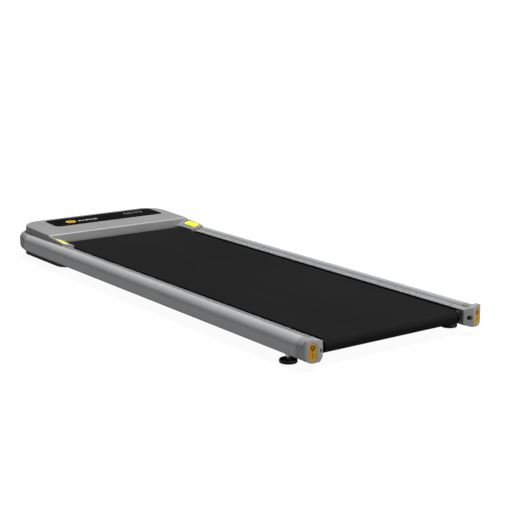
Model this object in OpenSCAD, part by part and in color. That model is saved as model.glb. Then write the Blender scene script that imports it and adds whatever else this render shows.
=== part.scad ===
// Flat under-desk treadmill. +Y is the motor end, +X the right side, Z = 0 the floor.

/* [Overall] */
// Overall length, rear end caps to front bumper
length = 1376; // [1300:2:1460]
// Overall width across both side rails
width = 500; // [480:2:520]
// Clear width between the rails' inner lips
lane = 400; // [380:2:410]

/* [Side rails] */
// Height of the rails' underside above the floor
rail_low = 22.6; // [22:0.2:25]
// Height of the rails' inner lip
lip_z = 60; // [60:0.2:61]
// Height of the rails' rounded crown
crown_z = 67; // [66:0.2:68]
// Wall thickness of the rail extrusion
skin = 2.2; // [1.8:0.1:2.6]

/* [Running gear] */
// Radius of the rear roller tube
rear_r = 14.5; // [14:0.1:15]
// Radius of the front roller tube
front_r = 18; // [17.5:0.1:18.5]
// Thickness of the walking belt
belt_t = 1.5; // [1.2:0.1:1.8]
// Gap between each edge of the walking belt and the rail's lip
belt_gap = 8; // [6:0.5:12]
// Slack travel of the rear axle
slack = 8; // [4:1:8]

/* [Hood] */
// Height of the hood's top at its rear edge
hood_rear_z = 83; // [80:0.5:86]
// Height of the hood's top at its front edge
hood_front_z = 88.5; // [87:0.5:92]
// Wall thickness of the plastic covers
wall = 2.6; // [2:0.1:3]

/* [Drive] */
// Radius of the pulley on the front roller
pulley_r = 23; // [22:0.5:23]
// Radius of the pulley on the motor shaft
pinion_r = 9; // [8:0.5:9]
// Outer radius of the motor can
motor_r = 29; // [26:0.5:29]

/* [Hidden] */
$fn = 64;
EPS = 0.01;
PLAY = 0.3;    // gap between a roller or pulley and the belt that wraps it
RUNFIT = 0.05; // radial clearance of a shaft that turns in its bearing

half_l = length / 2;
half_w = width / 2;
lip_x = lane / 2;
inner_wall_x = lip_x + 4;

// Rail profile
crown_x = half_w - 21;
crown_r = 21;
crown_c = crown_z - crown_r;
foot_r = 8;
groove_x = lip_x + 19;
groove_w = 2.4;
RIBS = 4;
rib_pitch = 3.9;
rail_rear = -half_l + 40;
rail_front = half_l - 88;
notch_y = half_l - 192;

// Rollers and the belt's path, as [y, z] of each axis
rear_axis = [-half_l + 34.8, 42];
deck_top = rear_axis[1] + rear_r + PLAY;
front_axis = [half_l - 164, deck_top - front_r - PLAY];
belt_loop_rear = rear_r + PLAY;
belt_loop_front = front_r + PLAY;
belt_half = lip_x - belt_gap;
roller_half = lip_x - 1.2;

// Deck and frame
deck_t = 12;
deck_low = deck_top - deck_t;
cushion_t = 3;
bar_top = deck_low - cushion_t;
bar_t = 3;
deck_rear = rear_axis[0] + rear_r + slack + 6;
deck_front = front_axis[0] - front_r - 10;
deck_half = lip_x - 0.5;
deck_screw_x = lip_x - 6.5;
bar_in = lip_x - 12;
bar_out = inner_wall_x;
CROSS_Y = [deck_rear + 55, -half_l / 3.4, half_l / 4.4, deck_front - 60];
CUSHION_Y = [-560, -330, -100, 130, 360];
SCREW_Y = [-595, -215, 245, 475];
axle_r_rear = 5;
axle_r_front = 6;

// Drive
motor_axis = [half_l - 82, 46];
motor_x0 = -172;
motor_len = 106;
drive_x = -(lip_x + 10);
drive_w = 14;
drive_t = 2.4;
shaft_r = 5;

// Rear ends
cap_step = 14;
cap_face_x = half_w - 32;
cap_turn = 14;
cap_corner = 8;
cap_top = 69.6;
cap_low = 19;
bolt_x = lip_x + 11.5;
bolt_z = rear_axis[1];
label_u = 15.4;
cap_screw_x = half_w - 18;
label_z = 42.5;
rear_foot = [half_w - 19.6, -half_l + 88];
foot_pad_r = 19.5;
foot_stem_r = 5;

// Hood, bumper and tray
hood_rear_y = half_l - 198;
hood_front_y = half_l - 9;
hood_half = half_w - 23;
hood_base_z = lip_z + 1;
hood_corner = 60;
hood_screw_x = half_w - 29.5;
HOOD_SCREW_Y = [half_l - 133, half_l - 98];
wing_rear_y = half_l - 280;
wing_in = lip_x - 10;
bumper_r = 80;
bumper_z = 69;
bumper_deep = 26;
bumper_t = 3;
tray_half = half_w - 19;
tray_rear = half_l - 282;
tray_front = half_l - 20;
tray_low = 7;
wheel_x = 184;
wheel_y = half_l - 48;
wheel_z = 17;
wheel_r = 15;
wheel_w = 14;
wheel_pin_r = 3;
FRONT_FEET = [[-150, half_l - 110], [150, half_l - 110]];
panel_x0 = -157;
panel_x1 = 194;
panel_y0 = half_l - 113;
panel_y1 = half_l - 24;
board_z = hood_rear_z - 13;

// Connection panel on the front face
conn_x = [40, 168];
conn_z = [29, 61];
inlet_x = 72;
switch_x = 116;
reset_x = 148;
conn_mid_z = 45;

PLASTIC = "#a4a5a6";
ALLOY = "#a9aaab";
STEEL = "#8b8d90";
BLACK = "#1b1b1c";

// ---------- shared shapes ----------

// Points on an arc, centre c, from angle a0 to a1 in n steps
function arc(c, r, a0, a1, n = 10) =
    [for (i = [0:n]) let (a = a0 + (a1 - a0) * i / n) [c[0] + r * cos(a), c[1] + r * sin(a)]];

// Outline of a band's inner or outer face round two wheels
function band(a, ra, b, rb, n = 24) =
    let (d = norm(b - a), t = atan2(b[1] - a[1], b[0] - a[0]), f = acos((ra - rb) / d))
    concat(arc(b, rb, t - f, t + f, n), arc(a, ra, t + f, t + 360 - f, n));

// Rounded rectangle, corner radius r
function pill(x0, y0, x1, y1, r, n = 8) = concat(
    arc([x1 - r, y0 + r], r, -90, 0, n), arc([x1 - r, y1 - r], r, 0, 90, n),
    arc([x0 + r, y1 - r], r, 90, 180, n), arc([x0 + r, y0 + r], r, 180, 270, n));

// A shape drawn in the Y-Z plane, extruded along X from x0 to x1
module along_x(x0, x1) {
    translate([x0, 0, 0]) rotate([90, 0, 90]) linear_extrude(x1 - x0) children();
}

// A shape drawn in the X-Z plane, extruded along Y from y0 to y1
module along_y(y0, y1) {
    translate([0, y1, 0]) rotate([90, 0, 0]) linear_extrude(y1 - y0) children();
}

module rod_x(x0, x1, y, z, r) {
    translate([x0, y, z]) rotate([0, 90, 0]) cylinder(h = x1 - x0, r = r);
}

module rod_y(y0, y1, x, z, r) {
    translate([x, y0, z]) rotate([-90, 0, 0]) cylinder(h = y1 - y0, r = r);
}

module box(lo, hi) {
    translate(lo) cube(hi - lo);
}

module ring_x(x0, x1, y, z, r, bore) {
    difference() {
        rod_x(x0, x1, y, z, r);
        rod_x(x0 - 1, x1 + 1, y, z, bore);
    }
}

// Pan-head screw pointing along -Z, head top at z
module screw_down(x, y, z, shank = 10, head_r = 3.8, shank_r = 2) {
    translate([x, y, z - 2.4]) difference() {
        cylinder(h = 2.4, r = head_r);
        translate([-0.5, -2.4, 1.2]) cube([1, 4.8, 2]);
        translate([-2.4, -0.5, 1.2]) cube([4.8, 1, 2]);
    }
    translate([x, y, z - 2.4 - shank]) cylinder(h = shank + EPS, r = shank_r);
}

// Pan-head screw pointing along +Z, head underside at z
module screw_up(x, y, z, shank = 10, head_r = 3.8, shank_r = 2) {
    translate([x, y, z]) mirror([0, 0, 1]) translate([0, 0, -2.4])
        screw_down(0, 0, 4.8, shank, head_r, shank_r);
}

module left_side() {
    mirror([1, 0, 0]) children();
}

module both_sides() {
    children();
    mirror([1, 0, 0]) children();
}

// ---------- side rails ----------

// Outer profile of a right-hand rail; ribbed top, drip groove, rounded crown
function rail_top(ribs) = concat(
    [[lip_x, lip_z - 2.5], [lip_x, lip_z]],
    ribs ? [for (i = [0:RIBS - 1]) let (x = lip_x + 1.6 + i * rib_pitch)
        each [[x, lip_z + 0.08 * (x - lip_x)], [x + 0.5, lip_z - 0.9 + 0.08 * (x - lip_x)],
              [x + 1.5, lip_z - 0.9 + 0.08 * (x - lip_x)], [x + 2, lip_z + 0.08 * (x - lip_x)]]] : [],
    [[groove_x - groove_w / 2, lip_z + 1.5]],
    ribs ? [[groove_x - groove_w / 2, lip_z - 0.2], [groove_x + groove_w / 2, lip_z - 0.2]] : [],
    [[groove_x + groove_w / 2, lip_z + 1.8]],
    [for (i = [1:5]) let (u = 1 - i / 6)
        [crown_x - u * (crown_x - groove_x - groove_w / 2), crown_z - (crown_z - lip_z - 1.8) * u * u]],
    arc([crown_x, crown_c], crown_r, 90, 0, 14));

function rail_outer(ribs = true) = concat(
    rail_top(ribs),
    arc([half_w - foot_r, rail_low + foot_r], foot_r, 0, -90, 6),
    arc([inner_wall_x + 3, rail_low + 3], 3, 270, 180, 4),
    [[inner_wall_x, lip_z - 5]]);

// The two hollow chambers of the extrusion
function chamber_in() = [
    [inner_wall_x + skin, rail_low + skin], [crown_x - 4, rail_low + skin],
    [crown_x - 4, crown_c + 15.5], [groove_x + 1.5, lip_z - 1.9], [inner_wall_x + skin, lip_z - 3.2]];
function chamber_out() = concat(
    [[crown_x - 2, rail_low + skin]],
    arc([half_w - foot_r, rail_low + foot_r], foot_r - skin, -90, 0, 6),
    arc([crown_x, crown_c], crown_r - skin, 0, 90, 12), [[crown_x - 2, crown_z - skin]]);

module rail() {
    difference() {
        along_y(rail_rear, rail_front) difference() {
            polygon(rail_outer());
            polygon(chamber_in());
            polygon(chamber_out());
        }
        // room for the drive gear and axle brackets under the hood
        box([lip_x - 1, notch_y, rail_low + skin], [crown_x - 4, rail_front + 1, crown_z]);
        box([lip_x - 1, notch_y, rail_low - 1], [crown_x - 12, rail_front + 1, rail_low + skin + 1]);
        for (y = HOOD_SCREW_Y) translate([hood_screw_x, y, rail_low - 1]) cylinder(h = skin + 2, r = 2.2);
        // open end of the groove, beside the end cap
        box([groove_x - groove_w / 2 - 0.1, rail_rear - 1, lip_z - 4],
            [groove_x + groove_w / 2 + 0.1, rail_rear + 32, crown_z]);
        // slot for the rear axle
        box([lip_x - 1, rail_rear - 1, bolt_z - 5.6], [crown_x - 4, rail_rear + 9.5, bolt_z + 5.6]);
        // bore for the levelling foot
        translate([rear_foot[0], rear_foot[1], rail_low - 1]) cylinder(h = 13.4, r = foot_stem_r + 1.4);
        translate([rear_foot[0], rear_foot[1], rail_low]) cylinder(h = 27, r = foot_stem_r + 0.6);
    }
}

// ---------- rear end caps ----------

// Rear view of a cap's raised end: it stands proud of the rail's crown
function cap_outline() = concat(
    [[lip_x, lip_z], [lip_x + 22, cap_top - 2.6]],
    arc([half_w - 13, cap_top - 13], 13, 100, 0, 12),
    arc([half_w - 17, cap_low + 17], 17, 0, -90, 10),
    [[lip_x + 12, cap_low + 2.4], [lip_x, rail_low + 3.4]]);

// Plan of a cap: a badge face that turns a little outwards, then a face slanting to the inner side
cap_corner_c = [half_w - cap_corner,
    -half_l + ((half_w - cap_corner - cap_face_x) * sin(cap_turn) + cap_corner) / cos(cap_turn)];
function cap_plan() = concat(
    [[lip_x, rail_rear], [lip_x, -half_l + cap_step], [cap_face_x, -half_l]],
    arc(cap_corner_c, cap_corner, 270 + cap_turn, 360, 8), [[half_w, rail_rear]]);

// Stands its children on the badge face: X along the face, Y into the cap
module on_badge_face() {
    translate([cap_face_x, -half_l, 0]) rotate([0, 0, cap_turn]) children();
}

module cap() {
    difference() {
        intersection() {
            linear_extrude(90) polygon(cap_plan());
            union() {
                along_y(-half_l, -half_l + cap_step) polygon(cap_outline());
                along_y(-half_l + cap_step - EPS, rail_rear) polygon(rail_outer(false));
            }
        }
        // hollow inside, open towards the rail
        along_y(-half_l + cap_step + 1, rail_rear + 1) union() {
            polygon(chamber_in());
            polygon(chamber_out());
            translate([crown_x - 5, rail_low + skin]) square([4, 33]);
        }
        // axle slot in the inner wall
        box([lip_x - 1, rear_axis[0] - 5.6, bolt_z - 5.6], [lip_x + 8, rail_rear + 1, bolt_z + 5.6]);
        // way in for the spanner that turns the tension bolt
        rod_y(-half_l - 1, -half_l + cap_step + 2, bolt_x, bolt_z, 5.4);
        // hole for the screw that fixes the cap under the rail
        translate([cap_screw_x, rail_rear - 12, rail_low - 1]) cylinder(h = skin + 2, r = 2);
        // seat of the badge insert
        on_badge_face() along_y(-4, 1.6)
            polygon(pill(label_u - 9.5, label_z - 19, label_u + 9.5, label_z + 19, 9.2));
    }
}

module end_cap_insert() {
    on_badge_face() {
        difference() {
            union() {
                along_y(0.1, 1.6) polygon(pill(label_u - 9.3, label_z - 18.8, label_u + 9.3,
                    label_z + 18.8, 9));
                along_y(0.01, 0.3) difference() {
                    polygon(pill(label_u - 9.3, label_z - 18.8, label_u + 9.3, label_z + 18.8, 9));
                    polygon(pill(label_u - 8, label_z - 17.5, label_u + 8, label_z + 17.5, 7.8));
                }
            }
            // a turning-direction ring and a bar, pressed into the face
            rod_y(-1, 0.7, label_u, label_z + 9, 4.6);
            box([label_u - 1.2, -1, label_z - 13], [label_u + 1.2, 0.6, label_z + 2]);
        }
        rod_y(0.1, 1, label_u, label_z + 9, 2.6);
    }
}

// Steel block that guides the rear axle and takes the tension bolt
module axle_block() {
    difference() {
        box([inner_wall_x + skin + 0.2, -half_l + cap_step + 1.2, bolt_z - 12],
            [crown_x - 8.5, rail_rear + 30, bolt_z + 12]);
        box([inner_wall_x, rear_axis[0] - axle_r_rear - 0.4, bolt_z - axle_r_rear - 0.3],
            [crown_x, rear_axis[0] + axle_r_rear + slack + 0.6, bolt_z + axle_r_rear + 0.3]);
        rod_y(-half_l, rear_axis[0], bolt_x, bolt_z, 3.3);
        box([bolt_x - 3.3, rear_axis[0], bolt_z - 3.3], [bolt_x + 3.3, rail_rear + 31, bolt_z + 3.3]);
    }
}

// Socket-head bolt: turning it draws the rear axle back
module tension_bolt() {
    head_y = -half_l + cap_step + 1.1;
    difference() {
        union() {
            rod_y(head_y - 6, head_y, bolt_x, bolt_z, 4.9);
            rod_y(head_y - EPS, rear_axis[0] - axle_r_rear - 0.45, bolt_x, bolt_z, 3);
            rod_y(rear_axis[0] - axle_r_rear - 0.5, rear_axis[0] + 19, bolt_x, bolt_z, 2.95);
        }
        translate([bolt_x, head_y - 7, bolt_z]) rotate([-90, 30, 0]) cylinder(h = 4.5, r = 2.8, $fn = 6);
    }
}

// ---------- frame, deck and walking belt ----------

module frame_bar() {
    difference() {
        union() {
            box([bar_out - bar_t, deck_rear, rail_low + 1.2], [bar_out, deck_front, bar_top]);
            box([bar_in, deck_rear, bar_top - bar_t], [bar_out, deck_front, bar_top]);
        }
        for (y = SCREW_Y) translate([deck_screw_x, y, bar_top - 6]) cylinder(h = 8, r = 2.6);
    }
}

module cross_members() {
    for (y = CROSS_Y) difference() {
        box([-bar_in, y - 20, bar_top - 9.4], [bar_in, y + 20, bar_top]);
        box([-bar_in - 1, y - 18.5, bar_top - 7.9], [bar_in + 1, y + 18.5, bar_top - 1.5]);
    }
}

module deck_board() {
    difference() {
        box([-deck_half, deck_rear, deck_low], [deck_half, deck_front, deck_top]);
        for (y = SCREW_Y, s = [-1, 1]) translate([s * deck_screw_x, y, deck_low - 1]) {
            cylinder(h = deck_t + 2, r = 2.7);
            translate([0, 0, deck_t - 3.6]) cylinder(h = 6, r = 4.9);
        }
    }
}

module deck_cushions() {
    for (y = CUSHION_Y, s = [-1, 1]) translate([s * (lip_x - 5.5), y, bar_top]) difference() {
        linear_extrude(cushion_t) polygon(pill(-6, -22, 6, 22, 4));
        translate([0, 0, cushion_t - 0.8]) linear_extrude(1) polygon(pill(-3, -18, 3, 18, 2));
    }
}

module deck_screws() {
    for (y = SCREW_Y, s = [-1, 1]) {
        screw_down(s * deck_screw_x, y, deck_top - 0.5, 20, 4.5, 2.4);
        translate([s * deck_screw_x, y, bar_top - bar_t - 4]) difference() {
            cylinder(h = 4, r = 4.4, $fn = 6);
            translate([0, 0, -1]) cylinder(h = 6, r = 2.5);
        }
    }
}

module walking_belt() {
    along_x(-belt_half, belt_half) difference() {
        polygon(band(rear_axis, belt_loop_rear + belt_t, front_axis, belt_loop_front + belt_t));
        polygon(band(rear_axis, belt_loop_rear, front_axis, belt_loop_front));
    }
}

// ---------- rollers ----------

module front_axle() {
    rod_x(-(crown_x - 5), crown_x - 5, front_axis[0], front_axis[1], axle_r_front);
}

module front_axle_brackets() {
    both_sides() difference() {
        union() {
            box([crown_x - 11, front_axis[0] - 11, rail_low + skin],
                [crown_x - 5.2, front_axis[0] + 11, front_axis[1]]);
            rod_x(crown_x - 11, crown_x - 5.2, front_axis[0], front_axis[1], 11);
            box([crown_x - 11, front_axis[0] - 24, rail_low + skin],
                [crown_x - 5.2, front_axis[0] + 20, rail_low + skin + 3]);
        }
        rod_x(0, crown_x, front_axis[0], front_axis[1], axle_r_front);
    }
}

module front_roller_tube() {
    ring_x(-roller_half, roller_half, front_axis[0], front_axis[1], front_r, front_r - 2);
}

module front_roller_bearings() {
    for (s = [-1, 1]) {
        x = s * (roller_half - 7);
        ring_x(x - 5, x + 5, front_axis[0], front_axis[1], front_r - 2, axle_r_front + RUNFIT);
    }
}

// Ribbed pulley with a flange at each side, axis along X
module pulley(r, hub_bore, y, z) {
    difference() {
        translate([drive_x - drive_w / 2, y, z]) rotate([90, 0, 90]) rotate_extrude() polygon(concat(
            [[0, 0], [r + 2, 0], [r + 2, 1]],
            [for (i = [0:4]) let (t = 1.5 + i * 2.3) each [[r, t], [r, t + 1.2], [r - 0.8, t + 1.75]]],
            [[r, drive_w - 1], [r + 2, drive_w - 1], [r + 2, drive_w], [0, drive_w]]));
        rod_x(drive_x - drive_w, drive_x + drive_w, y, z, hub_bore);
    }
}

module roller_pulley() {
    pulley(pulley_r, axle_r_front + 0.6, front_axis[0], front_axis[1]);
    ring_x(drive_x + drive_w / 2 - EPS, -roller_half, front_axis[0], front_axis[1], 15,
        axle_r_front + 0.6);
}

module rear_axle() {
    difference() {
        rod_x(-(bolt_x + 7), bolt_x + 7, rear_axis[0], rear_axis[1], axle_r_rear);
        for (s = [-1, 1]) rod_y(rear_axis[0] - 9, rear_axis[0] + 9, s * bolt_x, rear_axis[1], 3);
    }
}

module rear_roller_tube() {
    ring_x(-roller_half, roller_half, rear_axis[0], rear_axis[1], rear_r, rear_r - 2);
}

module rear_roller_bearings() {
    for (s = [-1, 1]) {
        x = s * (roller_half - 6);
        ring_x(x - 4, x + 4, rear_axis[0], rear_axis[1], rear_r - 2, axle_r_rear + RUNFIT);
    }
}

// ---------- motor and drive ----------

module motor_can() {
    ring_x(motor_x0, motor_x0 + motor_len, motor_axis[0], motor_axis[1], motor_r, motor_r - 3);
}

module motor_end_bells() {
    for (x = [motor_x0 - 4, motor_x0 + motor_len]) difference() {
        union() {
            rod_x(x, x + 4, motor_axis[0], motor_axis[1], motor_r);
            rod_x(x < motor_x0 ? x - 4 : x, x + (x < motor_x0 ? 4 : 8), motor_axis[0], motor_axis[1], 12);
        }
        rod_x(x - 9, x + 9, motor_axis[0], motor_axis[1], shaft_r + RUNFIT);
        for (a = [0:60:300]) rod_x(x - 1, x + 5, motor_axis[0] + 19 * cos(a),
            motor_axis[1] + 19 * sin(a), 3);
    }
}

module motor_shaft() {
    rod_x(drive_x - drive_w / 2 - 2, motor_x0 + motor_len + 12, motor_axis[0], motor_axis[1], shaft_r);
}

module motor_core() {
    x0 = motor_x0 + 14;
    x1 = motor_x0 + motor_len - 26;
    difference() {
        union() {
            difference() {
                rod_x(x0, x1, motor_axis[0], motor_axis[1], 20);
                for (a = [0:30:330]) translate([x0 - 1, motor_axis[0], motor_axis[1]]) rotate([a, 0, 0])
                    translate([0, -1, 14]) cube([x1 - x0 + 2, 2, 8]);
            }
            rod_x(x1, x1 + 16, motor_axis[0], motor_axis[1], 12);
        }
        rod_x(x0 - 1, x1 + 20, motor_axis[0], motor_axis[1], shaft_r);
    }
}

module motor_pulley() {
    pulley(pinion_r, shaft_r, motor_axis[0], motor_axis[1]);
}

// Saddle plate under the motor, standing on the belly tray
module motor_bracket() {
    x0 = motor_x0 + 8;
    x1 = motor_x0 + motor_len - 8;
    difference() {
        union() {
            box([x0, motor_axis[0] - 36, tray_low + wall], [x1, motor_axis[0] + 24, tray_low + wall + 3]);
            for (x = [x0, x1 - 6]) box([x, motor_axis[0] - 24, tray_low + wall],
                                       [x + 6, motor_axis[0] + 24, motor_axis[1] - 12]);
        }
        rod_x(x0 - 1, x1 + 1, motor_axis[0], motor_axis[1], motor_r + 0.05);
        for (x = [x0 + 14, x1 - 14]) translate([x, motor_axis[0] - 31, tray_low]) cylinder(h = 9, r = 2.4);
    }
}

module motor_screws() {
    for (x = [motor_x0 + 22, motor_x0 + motor_len - 22])
        screw_down(x, motor_axis[0] - 31, tray_low + wall + 5.4, 3, 4, 2);
}

module drive_belt() {
    w = drive_w - 3;
    along_x(drive_x - w / 2, drive_x + w / 2) difference() {
        polygon(band(front_axis, pulley_r + PLAY + drive_t, motor_axis, pinion_r + PLAY + drive_t));
        polygon(band(front_axis, pulley_r + PLAY, motor_axis, pinion_r + PLAY));
    }
}

// Optical pick-up that counts the roller's turns
module speed_sensor() {
    difference() {
        box([crown_x - 21, front_axis[0] - 42, rail_low + skin],
            [crown_x - 8, front_axis[0] - 30, front_axis[1]]);
        box([crown_x - 17, front_axis[0] - 43, front_axis[1] - 8],
            [crown_x - 12, front_axis[0] - 29, crown_z]);
    }
}

// ---------- electronics ----------

CTRL = [[20, half_l - 128], [172, half_l - 62]];

module controller_tray() {
    difference() {
        box([CTRL[0][0], CTRL[0][1], tray_low + wall], [CTRL[1][0], CTRL[1][1], tray_low + wall + 12]);
        box([CTRL[0][0] + 2, CTRL[0][1] + 2, tray_low + wall + 4],
            [CTRL[1][0] - 2, CTRL[1][1] - 2, tray_low + wall + 13]);
        for (i = [0:13]) box([CTRL[0][0] + 6 + i * 10.5, CTRL[0][1] - 1, tray_low + wall - 1],
                             [CTRL[0][0] + 11 + i * 10.5, CTRL[1][1] + 1, tray_low + wall + 2.2]);
    }
}

module controller_board() {
    z = tray_low + wall + 8;
    box([CTRL[0][0] + 2.5, CTRL[0][1] + 2.5, z], [CTRL[1][0] - 2.5, CTRL[1][1] - 2.5, z + 1.6]);
    for (x = [42, 66]) translate([x, half_l - 84, z + 1.6 - EPS]) cylinder(h = 26, r = 9);
    box([90, half_l - 118, z + 1.6 - EPS], [96, half_l - 72, z + 24]);
    box([108, half_l - 110, z + 1.6 - EPS], [138, half_l - 80, z + 20]);
    for (i = [0:3]) box([30 + i * 13, half_l - 122, z + 1.6 - EPS], [39 + i * 13, half_l - 112, z + 10]);
}

module controller_cover() {
    z0 = tray_low + wall + 12;
    difference() {
        box([CTRL[0][0], CTRL[0][1], z0], [CTRL[1][0], CTRL[1][1], z0 + 32]);
        box([CTRL[0][0] + 2, CTRL[0][1] + 2, z0 - 1], [CTRL[1][0] - 2, CTRL[1][1] - 2, z0 + 30]);
        for (i = [0:11]) box([CTRL[0][0] + 14 + i * 11, CTRL[0][1] + 10, z0 + 29],
                             [CTRL[0][0] + 18 + i * 11, CTRL[1][1] - 10, z0 + 33]);
        box([CTRL[0][0] - 1, half_l - 100, z0 + 4], [CTRL[0][0] + 3, half_l - 84, z0 + 14]);
    }
}

// Round lead of radius r: straight legs with ball elbows, points given as [x, y, z]
module lead(points, r) {
    for (i = [0:len(points) - 2]) {
        a = points[i];
        v = points[i + 1] - a;
        d = norm(v);
        translate(a) rotate([0, acos(v[2] / d), atan2(v[1], v[0])]) cylinder(h = d, r = r, $fn = 24);
        if (i > 0) translate(a) sphere(r = r, $fn = 24);
    }
}

module motor_lead() {
    lead([[motor_x0 + motor_len + 4, half_l - 92, 30], [CTRL[0][0], half_l - 92, 30]], 2.6);
}

module display_lead() {
    lead([[110, half_l - 100, tray_low + wall + 44], [110, half_l - 100, 66], [110, half_l - 86, 66],
          [110, half_l - 86, board_z]], 1.8);
}

module mains_lead() {
    lead([[inlet_x, half_l - 34, 40], [inlet_x, half_l - 48, 40], [inlet_x, half_l - 48, 28],
          [inlet_x, CTRL[1][1], 28]], 3.2);
}

// ---------- hood ----------

// Height of the hood's top at a given y
function hood_z(y) = hood_rear_z + (hood_front_z - hood_rear_z) * (y - hood_rear_y)
    / (hood_front_y - hood_rear_y);

// Plan of the hood, drawn in by inset d
function hood_plan(d) = concat(
    [[-(hood_half - d), hood_rear_y + d], [hood_half - d, hood_rear_y + d]],
    arc([hood_half - hood_corner, hood_front_y - hood_corner], hood_corner - d, 0, 90, 14),
    arc([-(hood_half - hood_corner), hood_front_y - hood_corner], hood_corner - d, 90, 180, 14));

// That plan as a ring of 3-D points, level at z, or following the hood's top from dz below it
function level_ring(d, z) = [for (p = hood_plan(d)) [p[0], p[1], z]];
function sloped_ring(d, dz) = [for (p = hood_plan(d)) [p[0], p[1], hood_z(p[1]) - dz]];

// Closed skin through a stack of rings that all have the same number of points
module loft(rings) {
    n = len(rings[0]);
    top = len(rings) - 1;
    polyhedron(points = [for (r = rings) each r], faces = concat(
        [[for (i = [0:n - 1]) i]], [[for (i = [n - 1:-1:0]) top * n + i]],
        [for (k = [0:top - 1], i = [0:n - 1]) [k * n + i, (k + 1) * n + i, (k + 1) * n + (i + 1) % n]],
        [for (k = [0:top - 1], i = [0:n - 1])
            [k * n + i, (k + 1) * n + (i + 1) % n, k * n + (i + 1) % n]]));
}

// Body of the hood: upright skirt, softly rounded top edge
module hood_body(inset) {
    loft([level_ring(inset - 2, hood_base_z - 3 - inset), sloped_ring(inset + 0.4, 4.4 + inset),
          sloped_ring(inset + 1, 2.2 + inset), sloped_ring(inset + 2.2, 0.8 + inset),
          sloped_ring(inset + 4.4, inset)]);
}

// Section of a wing at y: low at its inner edge, high at its outer edge; the rear end is set askew
function wing_ring(y, rise, d, skew) = [for (p = [
        [wing_in + d, hood_base_z - 3 - d], [wing_in + d, 63.4 - d], [wing_in + 1.4 + d, 64.9 - d],
        [hood_half - 6, 73.2 + rise - d], [hood_half - 2.6 - d, 73.8 + rise - d],
        [hood_half - 0.9 - d, 73 + rise - d], [hood_half - d, 71.2 + rise - d],
        [hood_half + 1.8 - d, hood_base_z - 3 - d]])
    [p[0], y + skew * (hood_half - p[0]), p[1]]];

// Ramp that runs back from the hood along each rail, top face leaning inwards, and the hollow under it
module wing() {
    loft([wing_ring(wing_rear_y, 0, 1.2, 0.13), wing_ring(wing_rear_y + 1.2, 0.6, 0, 0.13),
          wing_ring(hood_rear_y + 12, 7, 0, 0)]);
}

module wing_hollow() {
    along_y(wing_rear_y + 12, hood_rear_y + 12) polygon([
        [wing_in + wall, hood_base_z - 4], [wing_in + wall, 61.6], [hood_half - 6, 71.4],
        [hood_half - 1 - wall, 71.2], [hood_half - wall, hood_base_z - 4]]);
}

// Fillet, in plan, between the hood's rear wall and the wing's inner edge
module wing_fillet() {
    r = 20;
    translate([0, 0, hood_base_z - 2]) linear_extrude(4.6) polygon(concat(
        [[wing_in + 4, hood_rear_y + 4], [wing_in - r, hood_rear_y + 4]],
        arc([wing_in - r, hood_rear_y - r], r, 90, 0, 10), [[wing_in + 4, hood_rear_y - r]]));
}

module hood() {
    difference() {
        union() {
            hood_body(0);
            both_sides() {
                wing();
                wing_fillet();
            }
        }
        difference() {
            union() {
                hood_body(wall);
                both_sides() wing_hollow();
            }
            // bosses for the screws that come up through the rails
            both_sides() for (y = HOOD_SCREW_Y) translate([hood_screw_x, y, 0]) cylinder(h = 90, r = 4.4);
            // lens seat: the plate under the display panel
            box([panel_x0 - 3, panel_y0 - 3, hood_rear_z - 3], [panel_x1 + 3, panel_y1 + 1, hood_front_z]);
        }
        both_sides() along_y(wing_rear_y - 20, rail_front + 1) polygon(rail_outer(false));
        bumper_solid();
        box([-half_w, wing_rear_y - 20, 0], [half_w, half_l, hood_base_z]);
        both_sides() for (y = HOOD_SCREW_Y) translate([hood_screw_x, y, 0]) cylinder(h = 76, r = 1.9);
        panel_shape(1.4, 0.15);
        both_sides() reflector_shape(1.2, 0.15);
    }
}

// Rounded panel let into the hood's sloping top, t deep, grown by g
module panel_shape(t, g) {
    rise = hood_front_z - hood_rear_z;
    run = hood_front_y - hood_rear_y;
    translate([0, hood_rear_y, hood_rear_z - t]) rotate([atan(rise / run), 0, 0])
        translate([0, -hood_rear_y, 0]) linear_extrude(t + (g > 0 ? 5 : -0.2)) polygon(concat(
            arc([panel_x1 - 12, panel_y0 + 12], 12 + g, -90, 0, 8),
            arc([panel_x1 - 30, panel_y1 - 22], 22 + g, 0, 90, 10),
            arc([panel_x0 + 20, panel_y1 - 20], 20 + g, 90, 180, 10),
            arc([panel_x0 + 14, panel_y0 + 14], 14 + g, 180, 270, 8)));
}

// Yellow safety strip on a wing, lying in the wing's leaning face
module reflector_shape(t, g) {
    lean = 19.5;
    translate([lip_x + 11, wing_rear_y + 42, 71.4]) rotate([3.2, -lean, 2]) translate([0, 0, -t])
        linear_extrude(t + (g > 0 ? 5 : 0.3)) polygon(pill(-9.6 - g, -27 - g, 9.6 + g, 27 + g, 5));
}

module display_board() {
    box([-40, half_l - 100, board_z], [150, half_l - 52, board_z + 1.6]);
    for (x = [80, 108, 136]) box([x - 10, half_l - 80, board_z + 1.6 - EPS],
        [x + 10, half_l - 60, board_z + 8]);
}

module hood_screws() {
    for (s = [-1, 1], y = HOOD_SCREW_Y) screw_up(s * hood_screw_x, y, rail_low - 2.4, 52, 3.6, 1.8);
}

// ---------- front bumper, connection panel, belly tray ----------

// Section through the bumper, x measured inwards from its outer face
function bumper_outer() = concat(
    [[bumper_deep, bumper_z]], arc([14, bumper_z - 14], 14, 90, 180, 10),
    arc([17, rail_low + 17], 17, 180, 270, 10), [[bumper_deep, rail_low]]);
function bumper_inner() = concat(
    [[bumper_deep + 1, bumper_z - bumper_t]], arc([14, bumper_z - 14], 14 - bumper_t, 90, 180, 10),
    arc([17, rail_low + 17], 17 - bumper_t, 180, 270, 10), [[bumper_deep + 1, rail_low + bumper_t]]);

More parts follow.
